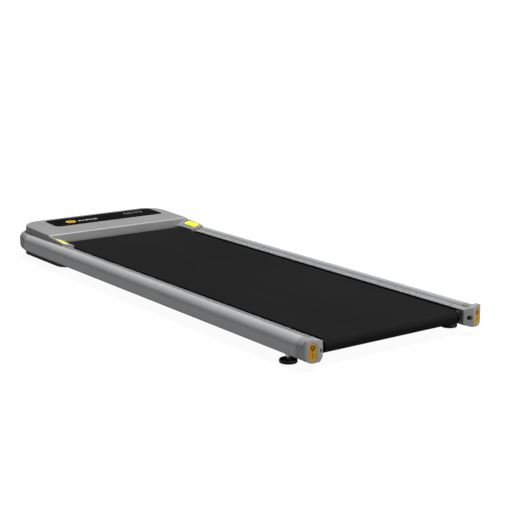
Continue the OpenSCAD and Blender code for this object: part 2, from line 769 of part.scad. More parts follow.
// Sweep a bumper section along both flanks, round the corners and across the front
module bumper_sweep(section) {
    both_sides() {
        translate([half_w - bumper_r, half_l - bumper_r, 0]) rotate_extrude(angle = 90, $fn = 96)
            polygon([for (p = section) [bumper_r - p[0], p[1]]]);
        translate([half_w, 0, 0]) along_y(rail_front, half_l - bumper_r)
            polygon([for (p = section) [-p[0], p[1]]]);
    }
    translate([0, half_l, 0]) along_x(-(half_w - bumper_r), half_w - bumper_r)
        polygon([for (p = section) [-p[0], p[1]]]);
}

module bumper_solid() {
    bumper_sweep(bumper_outer());
}

module front_bumper() {
    difference() {
        bumper_solid();
        bumper_sweep(bumper_inner());
        box([conn_x[0], half_l - 12, conn_z[0]], [conn_x[1], half_l + 1, conn_z[1]]);
    }
}

module connection_panel() {
    difference() {
        union() {
            box([conn_x[0] + 0.3, half_l - 8, conn_z[0] + 0.3],
                [conn_x[1] - 0.3, half_l - 5.4, conn_z[1] - 0.3]);
            // tabs at both ends, behind the bumper's wall
            for (x = [conn_x[0] - 4, conn_x[1] - 3])
                box([x, half_l - 8, conn_mid_z - 5], [x + 5, half_l - bumper_t, conn_mid_z + 9]);
        }
        box([inlet_x - 14.2, half_l - 20, conn_mid_z - 12.2],
            [inlet_x + 14.2, half_l + 1, conn_mid_z + 12.2]);
        box([switch_x - 10.7, half_l - 20, conn_mid_z - 8.2],
            [switch_x + 10.7, half_l + 1, conn_mid_z + 8.2]);
        rod_y(half_l - 20, half_l, reset_x, conn_mid_z, 6.2);
    }
}

// Mains inlet: shrouded socket with three flat pins
module power_inlet() {
    y1 = half_l - 3.2;
    difference() {
        union() {
            box([inlet_x - 14, half_l - 34, conn_mid_z - 12], [inlet_x + 14, half_l - 5, conn_mid_z + 12]);
            box([inlet_x - 16.4, half_l - 5.4, conn_mid_z - 14], [inlet_x + 16.4, y1, conn_mid_z + 14]);
        }
        along_y(half_l - 21, half_l) polygon([
            [inlet_x - 12, conn_mid_z - 8.5], [inlet_x + 12, conn_mid_z - 8.5],
                [inlet_x + 12, conn_mid_z + 4.5],
            [inlet_x + 8, conn_mid_z + 8.5], [inlet_x - 8, conn_mid_z + 8.5],
                [inlet_x - 12, conn_mid_z + 4.5]]);
    }
    for (d = [[-7, -2], [0, 2.4], [7, -2]])
        box([inlet_x + d[0] - 1, half_l - 21.5, conn_mid_z + d[1] - 2],
            [inlet_x + d[0] + 1, half_l - 8, conn_mid_z + d[1] + 2]);
}

// Rocker that tips about a pin across its middle
module switch_rocker() {
    difference() {
        along_x(switch_x - 8.4, switch_x + 8.4) polygon(concat(
            [[half_l - 13, conn_mid_z - 5.6], [half_l - 13, conn_mid_z + 5.6]],
            [[half_l - 3.4, conn_mid_z + 6.4], [half_l - 4.6, conn_mid_z],
                [half_l - 3.4, conn_mid_z - 6.4]]));
        rod_x(switch_x - 9, switch_x + 9, half_l - 9, conn_mid_z, 1.5 + RUNFIT);
    }
}

// Thermal breaker with a push-to-reset button
module breaker_body() {
    difference() {
        union() {
            rod_y(half_l - 26, half_l - 5.4, reset_x, conn_mid_z, 6);
            rod_y(half_l - 5.4, half_l - 3.6, reset_x, conn_mid_z, 8);
        }
        rod_y(half_l - 20, half_l, reset_x, conn_mid_z, 3.6 + RUNFIT);
    }
    // case of the mains switch beside it, with the rocker's pin
    difference() {
        union() {
            box([switch_x - 10.5, half_l - 24, conn_mid_z - 8],
                [switch_x + 10.5, half_l - 5, conn_mid_z + 8]);
            box([switch_x - 12.6, half_l - 5.4, conn_mid_z - 10],
                [switch_x + 12.6, half_l - 3.8, conn_mid_z + 10]);
        }
        box([switch_x - 9, half_l - 18, conn_mid_z - 7.2], [switch_x + 9, half_l, conn_mid_z + 7.2]);
    }
    rod_x(switch_x - 9.2, switch_x + 9.2, half_l - 9, conn_mid_z, 1.5);
}

module reset_button() {
    rod_y(half_l - 17, half_l - 1.6, reset_x, conn_mid_z, 3.6);
}

function tray_plan(d) = concat(
    arc([tray_half - 34, tray_rear + 34], 34 - d, -90, 0, 10),
    arc([tray_half - 48, tray_front - 48], 48 - d, 0, 90, 12),
    arc([-(tray_half - 48), tray_front - 48], 48 - d, 90, 180, 12),
    arc([-(tray_half - 34), tray_rear + 34], 34 - d, 180, 270, 10));

module belly_tray() {
    difference() {
        union() {
            difference() {
                translate([0, 0, tray_low]) linear_extrude(rail_low - tray_low) polygon(tray_plan(0));
                translate([0, 0, tray_low + wall]) linear_extrude(30) polygon(tray_plan(wall));
            }
            // cheeks that hold the wheel axles
            both_sides() for (x = [wheel_x - wheel_w / 2 - 3.8, wheel_x + wheel_w / 2 + 0.8])
                box([x, wheel_y - 8, tray_low], [x + 3, wheel_y + 8, wheel_z + 5.5]);
            both_sides() for (y = [tray_rear + 42, hood_rear_y + 130])
                translate([lip_x + 11, y, tray_low]) cylinder(h = rail_low - tray_low, r = 6);
        }
        // the belt's return run passes over the tray's rear lip
        box([-(lip_x + 1), tray_rear - 1, front_axis[1] - front_r - belt_t - 2.2],
            [lip_x + 1, tray_rear + 20, rail_low + 1]);
        both_sides() {
            box([wheel_x - wheel_w / 2 - 0.8, wheel_y - wheel_r - 1.5, tray_low - 1],
                [wheel_x + wheel_w / 2 + 0.8, wheel_y + wheel_r + 1.5, rail_low + 8]);
            rod_x(wheel_x - 20, wheel_x + 20, wheel_y, wheel_z, wheel_pin_r);
            for (y = [tray_rear + 42, hood_rear_y + 130])
                translate([lip_x + 11, y, tray_low - 1]) cylinder(h = 30, r = 2.2);
        }
        for (p = FRONT_FEET) translate([p[0], p[1], tray_low - 1]) cylinder(h = 6, r = 3);
        // cooling slots under the controller
        for (i = [0:7]) box([40 + i * 14, half_l - 50, tray_low - 1],
            [46 + i * 14, half_l - 32, tray_low + 4]);
    }
}

module tray_screws() {
    both_sides() for (y = [tray_rear + 42, hood_rear_y + 130])
        screw_up(lip_x + 11, y, tray_low - 2.4, 14, 4, 2);
}

module front_feet() {
    for (p = FRONT_FEET) translate([p[0], p[1], 0]) {
        rotate_extrude() polygon([[0, 0], [11, 0], [12.5, 1.5], [12.5, 5.5], [11, 7], [3, 7],
            [3, 9.6], [0, 9.6]]);
    }
}

module wheel() {
    translate([wheel_x - wheel_w / 2, wheel_y, wheel_z]) rotate([90, 0, 90]) rotate_extrude() polygon([
        [wheel_pin_r + RUNFIT, 0], [8, 0], [9, 2], [wheel_r - 4, 2], [wheel_r - 3, 0.6],
            [wheel_r - 1.2, 0.6],
        [wheel_r, 2], [wheel_r, wheel_w - 2], [wheel_r - 1.2, wheel_w - 0.6], [wheel_r - 3, wheel_w - 0.6],
        [wheel_r - 4, wheel_w - 2], [9, wheel_w - 2], [8, wheel_w], [wheel_pin_r + RUNFIT, wheel_w]]);
}

module wheel_axles() {
    both_sides() rod_x(wheel_x - wheel_w / 2 - 4.6, wheel_x + wheel_w / 2 + 4.6, wheel_y, wheel_z,
        wheel_pin_r);
}

// ---------- rear levelling feet ----------

// Threaded insert and locking nut under the rail
module rear_foot_nuts() {
    both_sides() translate([rear_foot[0], rear_foot[1], 0]) {
        difference() {
            union() {
                translate([0, 0, rail_low - 5]) cylinder(h = 5, r = 8.6, $fn = 6);
                translate([0, 0, rail_low - EPS]) cylinder(h = 12, r = foot_stem_r + 1.4);
            }
            translate([0, 0, rail_low - 6]) cylinder(h = 30, r = foot_stem_r + RUNFIT);
        }
    }
}

// Rubber pad on its threaded stem
module foot() {
    translate([rear_foot[0], rear_foot[1], 0]) rotate_extrude() polygon([
        [0, 0], [foot_pad_r - 1, 0], [foot_pad_r, 1], [foot_pad_r, 7], [foot_pad_r - 1.5, 8.8],
        [11, 9.4], [10, 10.4], [7.5, 11], [foot_stem_r, 11], [foot_stem_r, 40], [0, 40]]);
}

// ---------- nodes ----------

module left_rail() { color(ALLOY) left_side() rail(); }
module right_rail() { color(ALLOY) rail(); }
module left_end_cap() { color(PLASTIC) left_side() cap(); }
module right_end_cap() { color(PLASTIC) cap(); }
module end_cap_inserts() { color("#c8891c") both_sides() end_cap_insert(); }
module left_frame_bar() { color(STEEL) left_side() frame_bar(); }
module right_frame_bar() { color(STEEL) frame_bar(); }
module axle_blocks() { color(STEEL) both_sides() axle_block(); }
module left_tension_bolt() { color(STEEL) left_side() tension_bolt(); }
module right_tension_bolt() { color(STEEL) tension_bolt(); }
module left_foot() { color(BLACK) left_side() foot(); }
module right_foot() { color(BLACK) foot(); }
module left_wheel() { color(BLACK) left_side() wheel(); }
module right_wheel() { color(BLACK) wheel(); }
module left_reflector() { color("#e9ee2a") left_side() reflector_shape(1.1, 0); }
module right_reflector() { color("#e9ee2a") reflector_shape(1.1, 0); }
module display_panel() { color("#0c0c0e") panel_shape(1.4, 0); }
module end_cap_screws() {
    color(STEEL) both_sides() screw_up(cap_screw_x, rail_rear - 12, rail_low - 2.4, 9, 3.6, 1.8);
}

left_rail();
right_rail();
left_end_cap();
right_end_cap();
end_cap_inserts();
left_frame_bar();
right_frame_bar();
color(STEEL) cross_members();
color("#7a6248") deck_board();
color(BLACK) deck_cushions();
color(STEEL) deck_screws();
color("#262626") walking_belt();
color(STEEL) front_axle();
color(STEEL) front_axle_brackets();
color("#3a3c40") motor_can();
color(ALLOY) motor_end_bells();
color(STEEL) motor_bracket();
color(STEEL) motor_screws();
color(BLACK) drive_belt();
color(ALLOY) controller_tray();
color("#1d5c38") controller_board();
color(BLACK) controller_cover();
color("#1d5c38") display_board();
color(BLACK) motor_lead();
color(BLACK) display_lead();
color(BLACK) mains_lead();
color(BLACK) speed_sensor();
color(PLASTIC) hood();
display_panel();
left_reflector();
right_reflector();
color(STEEL) hood_screws();
color("#4a4b4d") belly_tray();
color(STEEL) tray_screws();
color(PLASTIC) front_bumper();
color(BLACK) connection_panel();
color(BLACK) power_inlet();
color(BLACK) breaker_body();
color(BLACK) front_feet();
color(STEEL) wheel_axles();
color(STEEL) rear_foot_nuts();
axle_blocks();
end_cap_screws();
color(STEEL) front_roller_tube();
color(STEEL) front_roller_bearings();
color(BLACK) roller_pulley();
color(STEEL) motor_shaft();
color("#8a4b2a") motor_core();
color(STEEL) motor_pulley();
color(STEEL) rear_axle();
color(STEEL) rear_roller_tube();
color(STEEL) rear_roller_bearings();
left_tension_bolt();
right_tension_bolt();
left_foot();
right_foot();
left_wheel();
right_wheel();
color(BLACK) switch_rocker();
color(BLACK) reset_button();
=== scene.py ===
"""Looks of the flat walking treadmill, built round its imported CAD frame.

+Y is the motor end, +X the right-hand side, Z = 0 the floor. Sizes below are in millimetres and
become metres in the mesh builders.
"""

import math

import bmesh
import bpy
from mathutils import Matrix, Vector


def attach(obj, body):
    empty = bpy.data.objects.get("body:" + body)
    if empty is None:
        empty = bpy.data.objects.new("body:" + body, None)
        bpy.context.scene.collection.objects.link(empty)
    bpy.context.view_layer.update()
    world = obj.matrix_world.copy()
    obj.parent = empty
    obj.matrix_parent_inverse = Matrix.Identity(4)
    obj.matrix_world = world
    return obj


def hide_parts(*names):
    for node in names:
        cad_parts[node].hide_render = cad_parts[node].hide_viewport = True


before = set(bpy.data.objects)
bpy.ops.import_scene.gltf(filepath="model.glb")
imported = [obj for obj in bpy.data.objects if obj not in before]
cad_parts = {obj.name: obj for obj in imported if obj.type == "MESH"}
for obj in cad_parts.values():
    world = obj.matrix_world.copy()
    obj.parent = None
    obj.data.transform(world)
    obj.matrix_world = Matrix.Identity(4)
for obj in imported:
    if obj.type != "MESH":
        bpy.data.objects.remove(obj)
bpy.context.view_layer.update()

MM = 0.001
SMOOTH, CRISP = math.radians(32), math.radians(26)

# ---------------------------------------------------------------- dimensions

HALF_L, HALF_W = 688.0, 250.0
LIP_X, LIP_Z = 200.0, 60.0
CROWN_X, CROWN_Z, CROWN_R = 229.0, 67.0, 21.0
RAIL_LOW, RAIL_FOOT_R = 22.6, 8.0
GROOVE_X, GROOVE_W = 219.0, 2.4
RIB_X = [201.6 + 3.9 * i for i in range(4)]
RIB_W = 2.0
RAIL_REAR, RAIL_FRONT = -648.0, 600.0
INNER_WALL = 204.0
REAR_AXIS, REAR_R = (-653.2, 42.0), 14.5
FRONT_AXIS, FRONT_R = (524.0, 38.5), 18.0
# BELT_EDGE_SHADE is the width of the painted shade along each belt edge.
BELT_HALF, BELT_T, PLAY, BELT_EDGE_SHADE = 192.0, 1.5, 0.3, 4.0
SLOT_LEN = 32.0
RIB_SLOPE = 0.08
POCKET = (198.0, 29.0, 221.4, 54.4)
POCKET_FRONT = -617.0
CAP_STEP, CAP_FACE_X, CAP_TOP, CAP_LOW = 14.0, 218.0, 69.6, 19.0
CAP_TURN, CAP_CORNER = 14.0, 8.0
BOLT_X, BOLT_Z = 211.5, 42.0
LABEL_U, LABEL_Z = 15.4, 42.5
REAR_FOOT = (230.4, -600.0)
HOOD_REAR, HOOD_FRONT = 490.0, 679.0
HOOD_REAR_Z, HOOD_FRONT_Z = 83.0, 88.5
HOOD_HALF, HOOD_BASE, HOOD_CORNER = 227.0, 61.0, 60.0
WING_REAR, WING_IN = 408.0, 190.0
PANEL = (-157.0, 575.0, 194.0, 664.0)
BUMPER_R, BUMPER_Z = 80.0, 69.0
CONN = (40.0, 168.0, 29.0, 61.0)
RISE = (HOOD_FRONT_Z - HOOD_REAR_Z) / (HOOD_FRONT - HOOD_REAR)


# ---------------------------------------------------------------- camera, light, floor


def make_camera():
    """Stands behind the left-hand rail, a little above the belt."""
    data = bpy.data.cameras.new("camera")
    data.sensor_width = 36.0
    data.lens = 87.62
    data.clip_end = 30.0
    cam = bpy.data.objects.new("camera", data)
    cam.location = (-1.73407, -2.561446, 0.784634)
    cam.rotation_euler = (math.radians(77.256), 0.0, math.radians(-35.923))
    bpy.context.scene.collection.objects.link(cam)
    bpy.context.scene.camera = cam


def sun_light(name, towards, spread, strength):
    """Even light over the whole scene, from a wide patch of sky in one direction."""
    data = bpy.data.lights.new(name, "SUN")
    data.energy = strength
    data.angle = math.radians(spread)
    light = bpy.data.objects.new(name, data)
    light.rotation_euler = Vector(towards).to_track_quat("Z", "Y").to_euler()
    bpy.context.scene.collection.objects.link(light)


def make_stage():
    """Pale floor, white surroundings, a soft sky light overhead and a low fill light from behind."""
    world = bpy.data.worlds.new("studio")
    bpy.context.scene.world = world
    world.use_nodes = True
    nt = world.node_tree
    nt.nodes.clear()
    out = nt.nodes.new("ShaderNodeOutputWorld")
    mix = nt.nodes.new("ShaderNodeMixShader")
    seen = nt.nodes.new("ShaderNodeBackground")
    lit = nt.nodes.new("ShaderNodeBackground")
    rays = nt.nodes.new("ShaderNodeLightPath")
    seen.inputs["Color"].default_value = (1, 1, 1, 1)
    seen.inputs["Strength"].default_value = 1.05
    lit.inputs["Color"].default_value = (1, 1, 1, 1)
    lit.inputs["Strength"].default_value = 0.08
    nt.links.new(rays.outputs["Is Camera Ray"], mix.inputs[0])
    nt.links.new(lit.outputs[0], mix.inputs[1])
    nt.links.new(seen.outputs[0], mix.inputs[2])
    nt.links.new(mix.outputs[0], out.inputs[0])

    sun_light("sky", (0.30, -0.10, 1.0), 24, 4.6)
    sun_light("fill", (0.1, -1.0, 0.22), 40, 1.15)

    bm = bmesh.new()
    bmesh.ops.create_circle(bm, cap_ends=True, segments=96, radius=9.0)
    mesh = bpy.data.meshes.new("floor")
    bm.to_mesh(mesh)
    bm.free()
    floor = bpy.data.objects.new("floor", mesh)
    bpy.context.scene.collection.objects.link(floor)
    mat = bpy.data.materials.new("floor_paper")
    mat.use_nodes = True
    nt = mat.node_tree
    nt.nodes.remove(nt.nodes["Principled BSDF"])
    out = nt.nodes["Material Output"]
    mix = nt.nodes.new("ShaderNodeMixShader")
    rays = nt.nodes.new("ShaderNodeLightPath")
    bounce = nt.nodes.new("ShaderNodeBsdfDiffuse")
    bounce.inputs["Color"].default_value = (0.30, 0.30, 0.30, 1)
    shade = nt.nodes.new("ShaderNodeBsdfDiffuse")
    shade.inputs["Color"].default_value = (0.08, 0.08, 0.08, 1)
    glow = nt.nodes.new("ShaderNodeEmission")
    glow.inputs["Strength"].default_value = 0.95
    add = nt.nodes.new("ShaderNodeAddShader")
    nt.links.new(shade.outputs[0], add.inputs[0])
    nt.links.new(glow.outputs[0], add.inputs[1])
    nt.links.new(rays.outputs["Is Camera Ray"], mix.inputs[0])
    nt.links.new(bounce.outputs[0], mix.inputs[1])
    nt.links.new(add.outputs[0], mix.inputs[2])
    nt.links.new(mix.outputs[0], out.inputs["Surface"])
    mesh.materials.append(mat)


# ---------------------------------------------------------------- materials


class Mat:
    """A small builder for procedural materials that are fixed to the object's own space."""

    def __init__(self, name):
        self.mat = bpy.data.materials.new(name)
        self.mat.use_nodes = True
        self.nt = self.mat.node_tree
        self.bsdf = self.nt.nodes["Principled BSDF"]
        self.coord = self.nt.nodes.new("ShaderNodeTexCoord").outputs["Object"]
        self.height = None

    def set(self, **values):
        for key, value in values.items():
            socket = self.bsdf.inputs[key.replace("_", " ")]
            socket.default_value = (*value, 1.0) if isinstance(value, tuple) and len(value) == 3 else value
        return self

    def link(self, a, b):
        self.nt.links.new(a, b)

    def mapped(self, scale=(1, 1, 1), rotation=(0, 0, 0)):
        node = self.nt.nodes.new("ShaderNodeMapping")
        node.inputs["Scale"].default_value = scale
        node.inputs["Rotation"].default_value = rotation
        self.link(self.coord, node.inputs["Vector"])
        return node.outputs[0]

    def noise(self, scale, detail=3.0, rough=0.5, vector=None):
        node = self.nt.nodes.new("ShaderNodeTexNoise")
        node.inputs["Scale"].default_value = scale
        node.inputs["Detail"].default_value = detail
        node.inputs["Roughness"].default_value = rough
        self.link(vector or self.coord, node.inputs["Vector"])
        return node.outputs["Fac"]

    def voronoi(self, scale, vector=None, feature="F1"):
        node = self.nt.nodes.new("ShaderNodeTexVoronoi")
        node.feature = feature
        node.inputs["Scale"].default_value = scale
        self.link(vector or self.coord, node.inputs["Vector"])
        return node.outputs["Distance"]

    def wave(self, scale, direction="X", vector=None, profile="SIN"):
        node = self.nt.nodes.new("ShaderNodeTexWave")
        node.bands_direction = direction
        node.wave_profile = profile
        node.inputs["Scale"].default_value = scale
        self.link(vector or self.coord, node.inputs["Vector"])
        return node.outputs["Fac"]

    def math(self, op, a, b=None):
        node = self.nt.nodes.new("ShaderNodeMath")
        node.operation = op
        for i, v in enumerate((a, b)):
            if v is None:
                continue
            if isinstance(v, (int, float)):
                node.inputs[i].default_value = v
            else:
                self.link(v, node.inputs[i])
        return node.outputs[0]

    def ramp(self, fac, low, high, at=(0.3, 0.7)):
        """Colours or greys between low and high as fac goes from at[0] to at[1]."""
        node = self.nt.nodes.new("ShaderNodeValToRGB")
        for element, pos, value in zip(node.color_ramp.elements, at, (low, high)):
            element.position = pos
            element.color = (*value, 1) if isinstance(value, tuple) else (value, value, value, 1)
        self.link(fac, node.inputs["Fac"])
        return node.outputs["Color"]

    def colour(self, fac, low, high, at=(0.3, 0.7)):
        self.link(self.ramp(fac, low, high, at), self.bsdf.inputs["Base Color"])
        return self

    def roughness(self, fac, low, high, at=(0.3, 0.7)):
        self.link(self.ramp(fac, low, high, at), self.bsdf.inputs["Roughness"])
        return self

    def away_from_middle(self):
        """Distance from the object's middle plane, in metres."""
        split = self.nt.nodes.new("ShaderNodeSeparateXYZ")
        self.link(self.coord, split.inputs[0])
        return self.math("ABSOLUTE", split.outputs["X"])

    def darken(self, mask, colour):
        """Turns the base colour to another where the mask is 1."""
        mix = self.nt.nodes.new("ShaderNodeMix")
        mix.data_type = "RGBA"
        mix.inputs[7].default_value = (*colour, 1)
        self.link(mask, mix.inputs[0])
        self.link(self.bsdf.inputs["Base Color"].links[0].from_socket, mix.inputs[6])
        self.link(mix.outputs[2], self.bsdf.inputs["Base Color"])

    def bump(self, fac, strength, distance):
        node = self.nt.nodes.new("ShaderNodeBump")
        node.inputs["Strength"].default_value = strength
        node.inputs["Distance"].default_value = distance
        self.link(fac, node.inputs["Height"])
        if self.height is not None:
            self.link(self.height, node.inputs["Normal"])
        self.height = node.outputs[0]
        self.link(self.height, self.bsdf.inputs["Normal"])
        return self


def tint(grey, k):
    return tuple(c * k for c in grey)


SILVER = (0.33, 0.335, 0.342)


def recess_shade_mask(m):
    """Painted shade mask: near 1 in the left-hand rail's rib valleys, 1 in its groove, 0 elsewhere; the
    right-hand rail gets none.
    """
    split = m.nt.nodes.new("ShaderNodeSeparateXYZ")
    m.link(m.coord, split.inputs[0])
    reach = 0.022
    across = m.math("DIVIDE", m.math("SUBTRACT", m.math("ABSOLUTE", split.outputs["X"]), LIP_X * MM), reach)
    node = m.nt.nodes.new("ShaderNodeValToRGB")
    ramp = node.color_ramp
    ramp.interpolation = "CONSTANT"
    m.link(across, node.inputs["Fac"])
    spans = [(x, x + RIB_W) for x in RIB_X] + [(GROOVE_X - 2.0, GROOVE_X + 1.8)]
    ramp.elements[0].color = (0, 0, 0, 1)
    ramp.elements[1].position = (spans[-1][1] - LIP_X) * MM / reach
    ramp.elements[1].color = (0, 0, 0, 1)
    for i, (low, high) in enumerate(spans):
        shade = 1.0 if i == len(spans) - 1 else 0.95
        start = ramp.elements.new((low - LIP_X) * MM / reach)
        start.color = (shade, shade, shade, 1)
        if i < len(spans) - 1:
            end = ramp.elements.new((high - LIP_X) * MM / reach)
            end.color = (0, 0, 0, 1)
    above = m.math("GREATER_THAN", split.outputs["Z"], 0.054)
    left = m.math("LESS_THAN", split.outputs["X"], 0.0)
    return m.math("MULTIPLY", m.math("MULTIPLY", node.outputs["Color"], above), left)


def painted_alloy(name="painted_alloy", grey=SILVER, shade_recesses=False):
    """Silver lacquer on an aluminium extrusion: fine flake, faint drawing lines along its length, and
    painted shade in the left-hand rail's recesses when asked.
    """
    m = Mat(name)
    flake = m.noise(2600, 2)
    cloud = m.noise(9, 4, 0.6)
    lines = m.noise(60, 4, 0.6, m.mapped((22, 0.35, 22)))
    m.colour(m.math("ADD", m.math("MULTIPLY", flake, 0.5), m.math("MULTIPLY", cloud, 0.5)),
             tint(grey, 0.93), tint(grey, 1.06), (0.35, 0.65))
    m.roughness(m.math("ADD", m.math("MULTIPLY", lines, 0.5), m.math("MULTIPLY", cloud, 0.5)), 0.40, 0.50)
    m.set(Metallic=0.25, Specular_IOR_Level=0.4)
    m.bump(flake, 0.04, 0.00005).bump(lines, 0.05, 0.0001)
    if shade_recesses:
        # Painted shade: the left-hand rail's rib valleys and groove turn near black, standing in for shade
        # in the recesses.
        m.darken(recess_shade_mask(m), (0.012, 0.012, 0.013))
    return m.mat


def moulded(name, grey, rough=(0.42, 0.52), grain=1400, depth=0.00012, metallic=0.0, spec=0.5):
    """Moulded plastic: spark-eroded grain in the bump, slow variation in tone."""
    m = Mat(name)
    cells = m.voronoi(grain)
    cloud = m.noise(14, 4, 0.55)
    m.colour(cloud, tint(grey, 0.94), tint(grey, 1.05))
    m.roughness(m.noise(90, 3), rough[0], rough[1])
    m.set(Metallic=metallic, Specular_IOR_Level=spec)
    m.bump(cells, 0.18, depth)
    return m.mat


def belt_material():
    """Black belt: fine pebble weave in rows, worn a little along the middle, with painted shade along both
    edges.
    """
    m = Mat("belt_weave")
    rows = m.wave(560, "X")
    cols = m.wave(560, "Y")
    weave = m.math("MULTIPLY", rows, cols)
    grit = m.noise(1900, 2)
    cloud = m.noise(5, 5, 0.6, m.mapped((1, 0.35, 1)))
    tone = m.math("ADD", m.math("MULTIPLY", cloud, 0.7), m.math("MULTIPLY", weave, 0.3))
    m.colour(tone, (0.0112, 0.0112, 0.0114), (0.0162, 0.0162, 0.0162), (0.25, 0.75))
    m.roughness(m.noise(40, 4), 0.66, 0.78)
    m.set(Specular_IOR_Level=0.05, IOR=1.08)
    # Painted shade: a near-black band along each belt edge stands in for the shadow in the gap beside the
    # rails.
    edge_shade = m.math("GREATER_THAN", m.away_from_middle(), (BELT_HALF - BELT_EDGE_SHADE) * MM)
    m.darken(edge_shade, (0.0012, 0.0012, 0.0012))
    m.bump(weave, 0.35, 0.0003).bump(grit, 0.15, 0.00012)
    return m.mat


def metal(name, colour, rough=(0.22, 0.36), lines=(1, 1, 60)):
    """Bare machined or plated metal with fine tool lines."""
    m = Mat(name)
    tool = m.noise(40, 4, 0.6, m.mapped(lines))
    cloud = m.noise(30, 3)
    m.colour(cloud, tint(colour, 0.9), tint(colour, 1.04))
    m.roughness(tool, rough[0], rough[1])
    m.set(Metallic=1.0)
    m.bump(tool, 0.06, 0.00006)
    return m.mat


def rubber(name="black_rubber"):
    m = Mat(name)
    speck = m.noise(900, 3)
    m.colour(m.noise(20, 4), (0.009, 0.009, 0.009), (0.016, 0.016, 0.016))
    m.roughness(speck, 0.34, 0.5)
    m.bump(speck, 0.12, 0.00015)
    return m.mat


def gloss_black():
    """Smoked acrylic over the display: deep black, sharp coat, dust-fine variation."""
    m = Mat("smoked_acrylic")
    m.colour(m.noise(30, 3), (0.0022, 0.0022, 0.0026), (0.0042, 0.0042, 0.0046))
    m.roughness(m.noise(220, 3), 0.10, 0.17)
    m.set(Specular_IOR_Level=0.1, IOR=1.15)
    m.bump(m.noise(60, 2), 0.02, 0.0001)
    return m.mat


def print_ink(name, colour, glow=0.0):
    """Ink or a lit segment behind the acrylic, a little uneven; glow given to ink is a painted glow."""
    m = Mat(name)
    m.colour(m.noise(500, 3), tint(colour, 0.8), colour)
    m.roughness(m.noise(300, 2), 0.35, 0.5)
    m.set(Emission_Color=colour, Emission_Strength=glow)
    return m.mat


def reflector_material():
    """Fluorescent safety strip: small prisms under a clear face, with a painted glow."""
    m = Mat("prism_reflector")
    cells = m.voronoi(420, feature="DISTANCE_TO_EDGE")
    m.colour(cells, (0.80, 0.86, 0.015), (0.93, 0.96, 0.02), (0.02, 0.12))
    m.roughness(m.noise(120, 3), 0.25, 0.4)
    # Painted glow: the emission makes the strip shine though it is no lamp.
    m.set(Emission_Color=(0.93, 0.97, 0.03), Emission_Strength=0.34, Coat_Weight=0.4, Coat_Roughness=0.15)
    m.bump(cells, 0.3, 0.0004)
    return m.mat


def amber_material(name="amber_badge", colour=(0.60, 0.30, 0.006)):
    m = Mat(name)
    m.colour(m.noise(70, 4, 0.6), tint(colour, 0.86), tint(colour, 1.12))
    m.roughness(m.noise(200, 3), 0.3, 0.42)
    m.set(Coat_Weight=0.05, Coat_Roughness=0.2, Specular_IOR_Level=0.25)
    m.bump(m.noise(700, 2), 0.06, 0.0001)
    return m.mat


def board_material():
    """Circuit board: green mask with copper tracks showing through."""
    m = Mat("circuit_board")
    tracks = m.wave(130, "Y", m.mapped((1, 1, 1), (0, 0, 0.3)), "SAW")
    copper = m.math("MULTIPLY", tracks, m.noise(90, 2))
    m.colour(copper, (0.012, 0.09, 0.035), (0.03, 0.19, 0.07), (0.3, 0.6))
    m.roughness(m.noise(60, 3), 0.3, 0.45)
    m.bump(tracks, 0.1, 0.0002)
    return m.mat


def deck_material():
    """Pressed wood fibre under a black waxed film, its colour held near zero as painted shade for the gap
    beside the belt.
    """
    m = Mat("fibre_board")
    grain = m.noise(120, 5, 0.7, m.mapped((3, 0.8, 3)))
    # Partly painted shade: near-zero colour so the deck seen in the gap beside the belt reads as shadow.
    m.colour(grain, (0.0010, 0.0010, 0.0009), (0.0022, 0.0021, 0.0020))
    m.roughness(m.noise(400, 3), 0.55, 0.75)
    m.set(Specular_IOR_Level=0.03, IOR=1.02)
    m.bump(grain, 0.2, 0.0003)
    return m.mat


# ---------------------------------------------------------------- mesh builders


def arc(cx, cy, r, a0, a1, n):
    """n + 1 points on an arc, angles in degrees."""
    out = []
    for i in range(n + 1):
        a = math.radians(a0 + (a1 - a0) * i / n)
        out.append((cx + r * math.cos(a), cy + r * math.sin(a)))
    return out


def pill(x0, y0, x1, y1, r, n=12):
    return (arc(x1 - r, y0 + r, r, -90, 0, n) + arc(x1 - r, y1 - r, r, 0, 90, n)
            + arc(x0 + r, y1 - r, r, 90, 180, n) + arc(x0 + r, y0 + r, r, 180, 270, n))


def inset(ring, d):
    """A closed outline drawn in by d, corner by corner; ring is counter-clockwise."""
    out, n = [], len(ring)
    for i in range(n):
        a, b, c = Vector(ring[i - 1]), Vector(ring[i]), Vector(ring[(i + 1) % n])
        u, v = (b - a), (c - b)
        if u.length < 1e-9 or v.length < 1e-9:
            out.append(tuple(b))
            continue
        nu, nv = Vector((-u.y, u.x)).normalized(), Vector((-v.y, v.x)).normalized()
        m = nu + nv
        m = m / max(m.dot(nu), 0.35) if m.length > 1e-6 else nu
        out.append(tuple(b + m * d))
    return out


def tidy(bm, angle=SMOOTH):
    bmesh.ops.remove_doubles(bm, verts=bm.verts, dist=1e-7)
    bmesh.ops.recalc_face_normals(bm, faces=bm.faces)
    for face in bm.faces:
        face.smooth = True
    for edge in bm.edges:
        edge.smooth = len(edge.link_faces) == 2 and edge.calc_face_angle(0) < angle


def to_object(bm, name, material, angle=SMOOTH):
    tidy(bm, angle)
    mesh = bpy.data.meshes.new(name)
    bm.to_mesh(mesh)
    bm.free()
    obj = bpy.data.objects.new(name, mesh)
    bpy.context.scene.collection.objects.link(obj)
    mesh.materials.append(material)
    return obj


def loft(rings, closed=True):
    """Skin through rings of 3-D points in millimetres, with flat ends when closed."""
    bm = bmesh.new()
    rows = [[bm.verts.new((p[0] * MM, p[1] * MM, p[2] * MM)) for p in ring] for ring in rings]
    n = len(rings[0])
    for low, high in zip(rows, rows[1:]):
        for i in range(n):
            j = (i + 1) % n
            bm.faces.new((low[i], low[j], high[j], high[i]))
    if closed:
        bm.faces.new(list(reversed(rows[0])))
        bm.faces.new(rows[-1])
    return bm


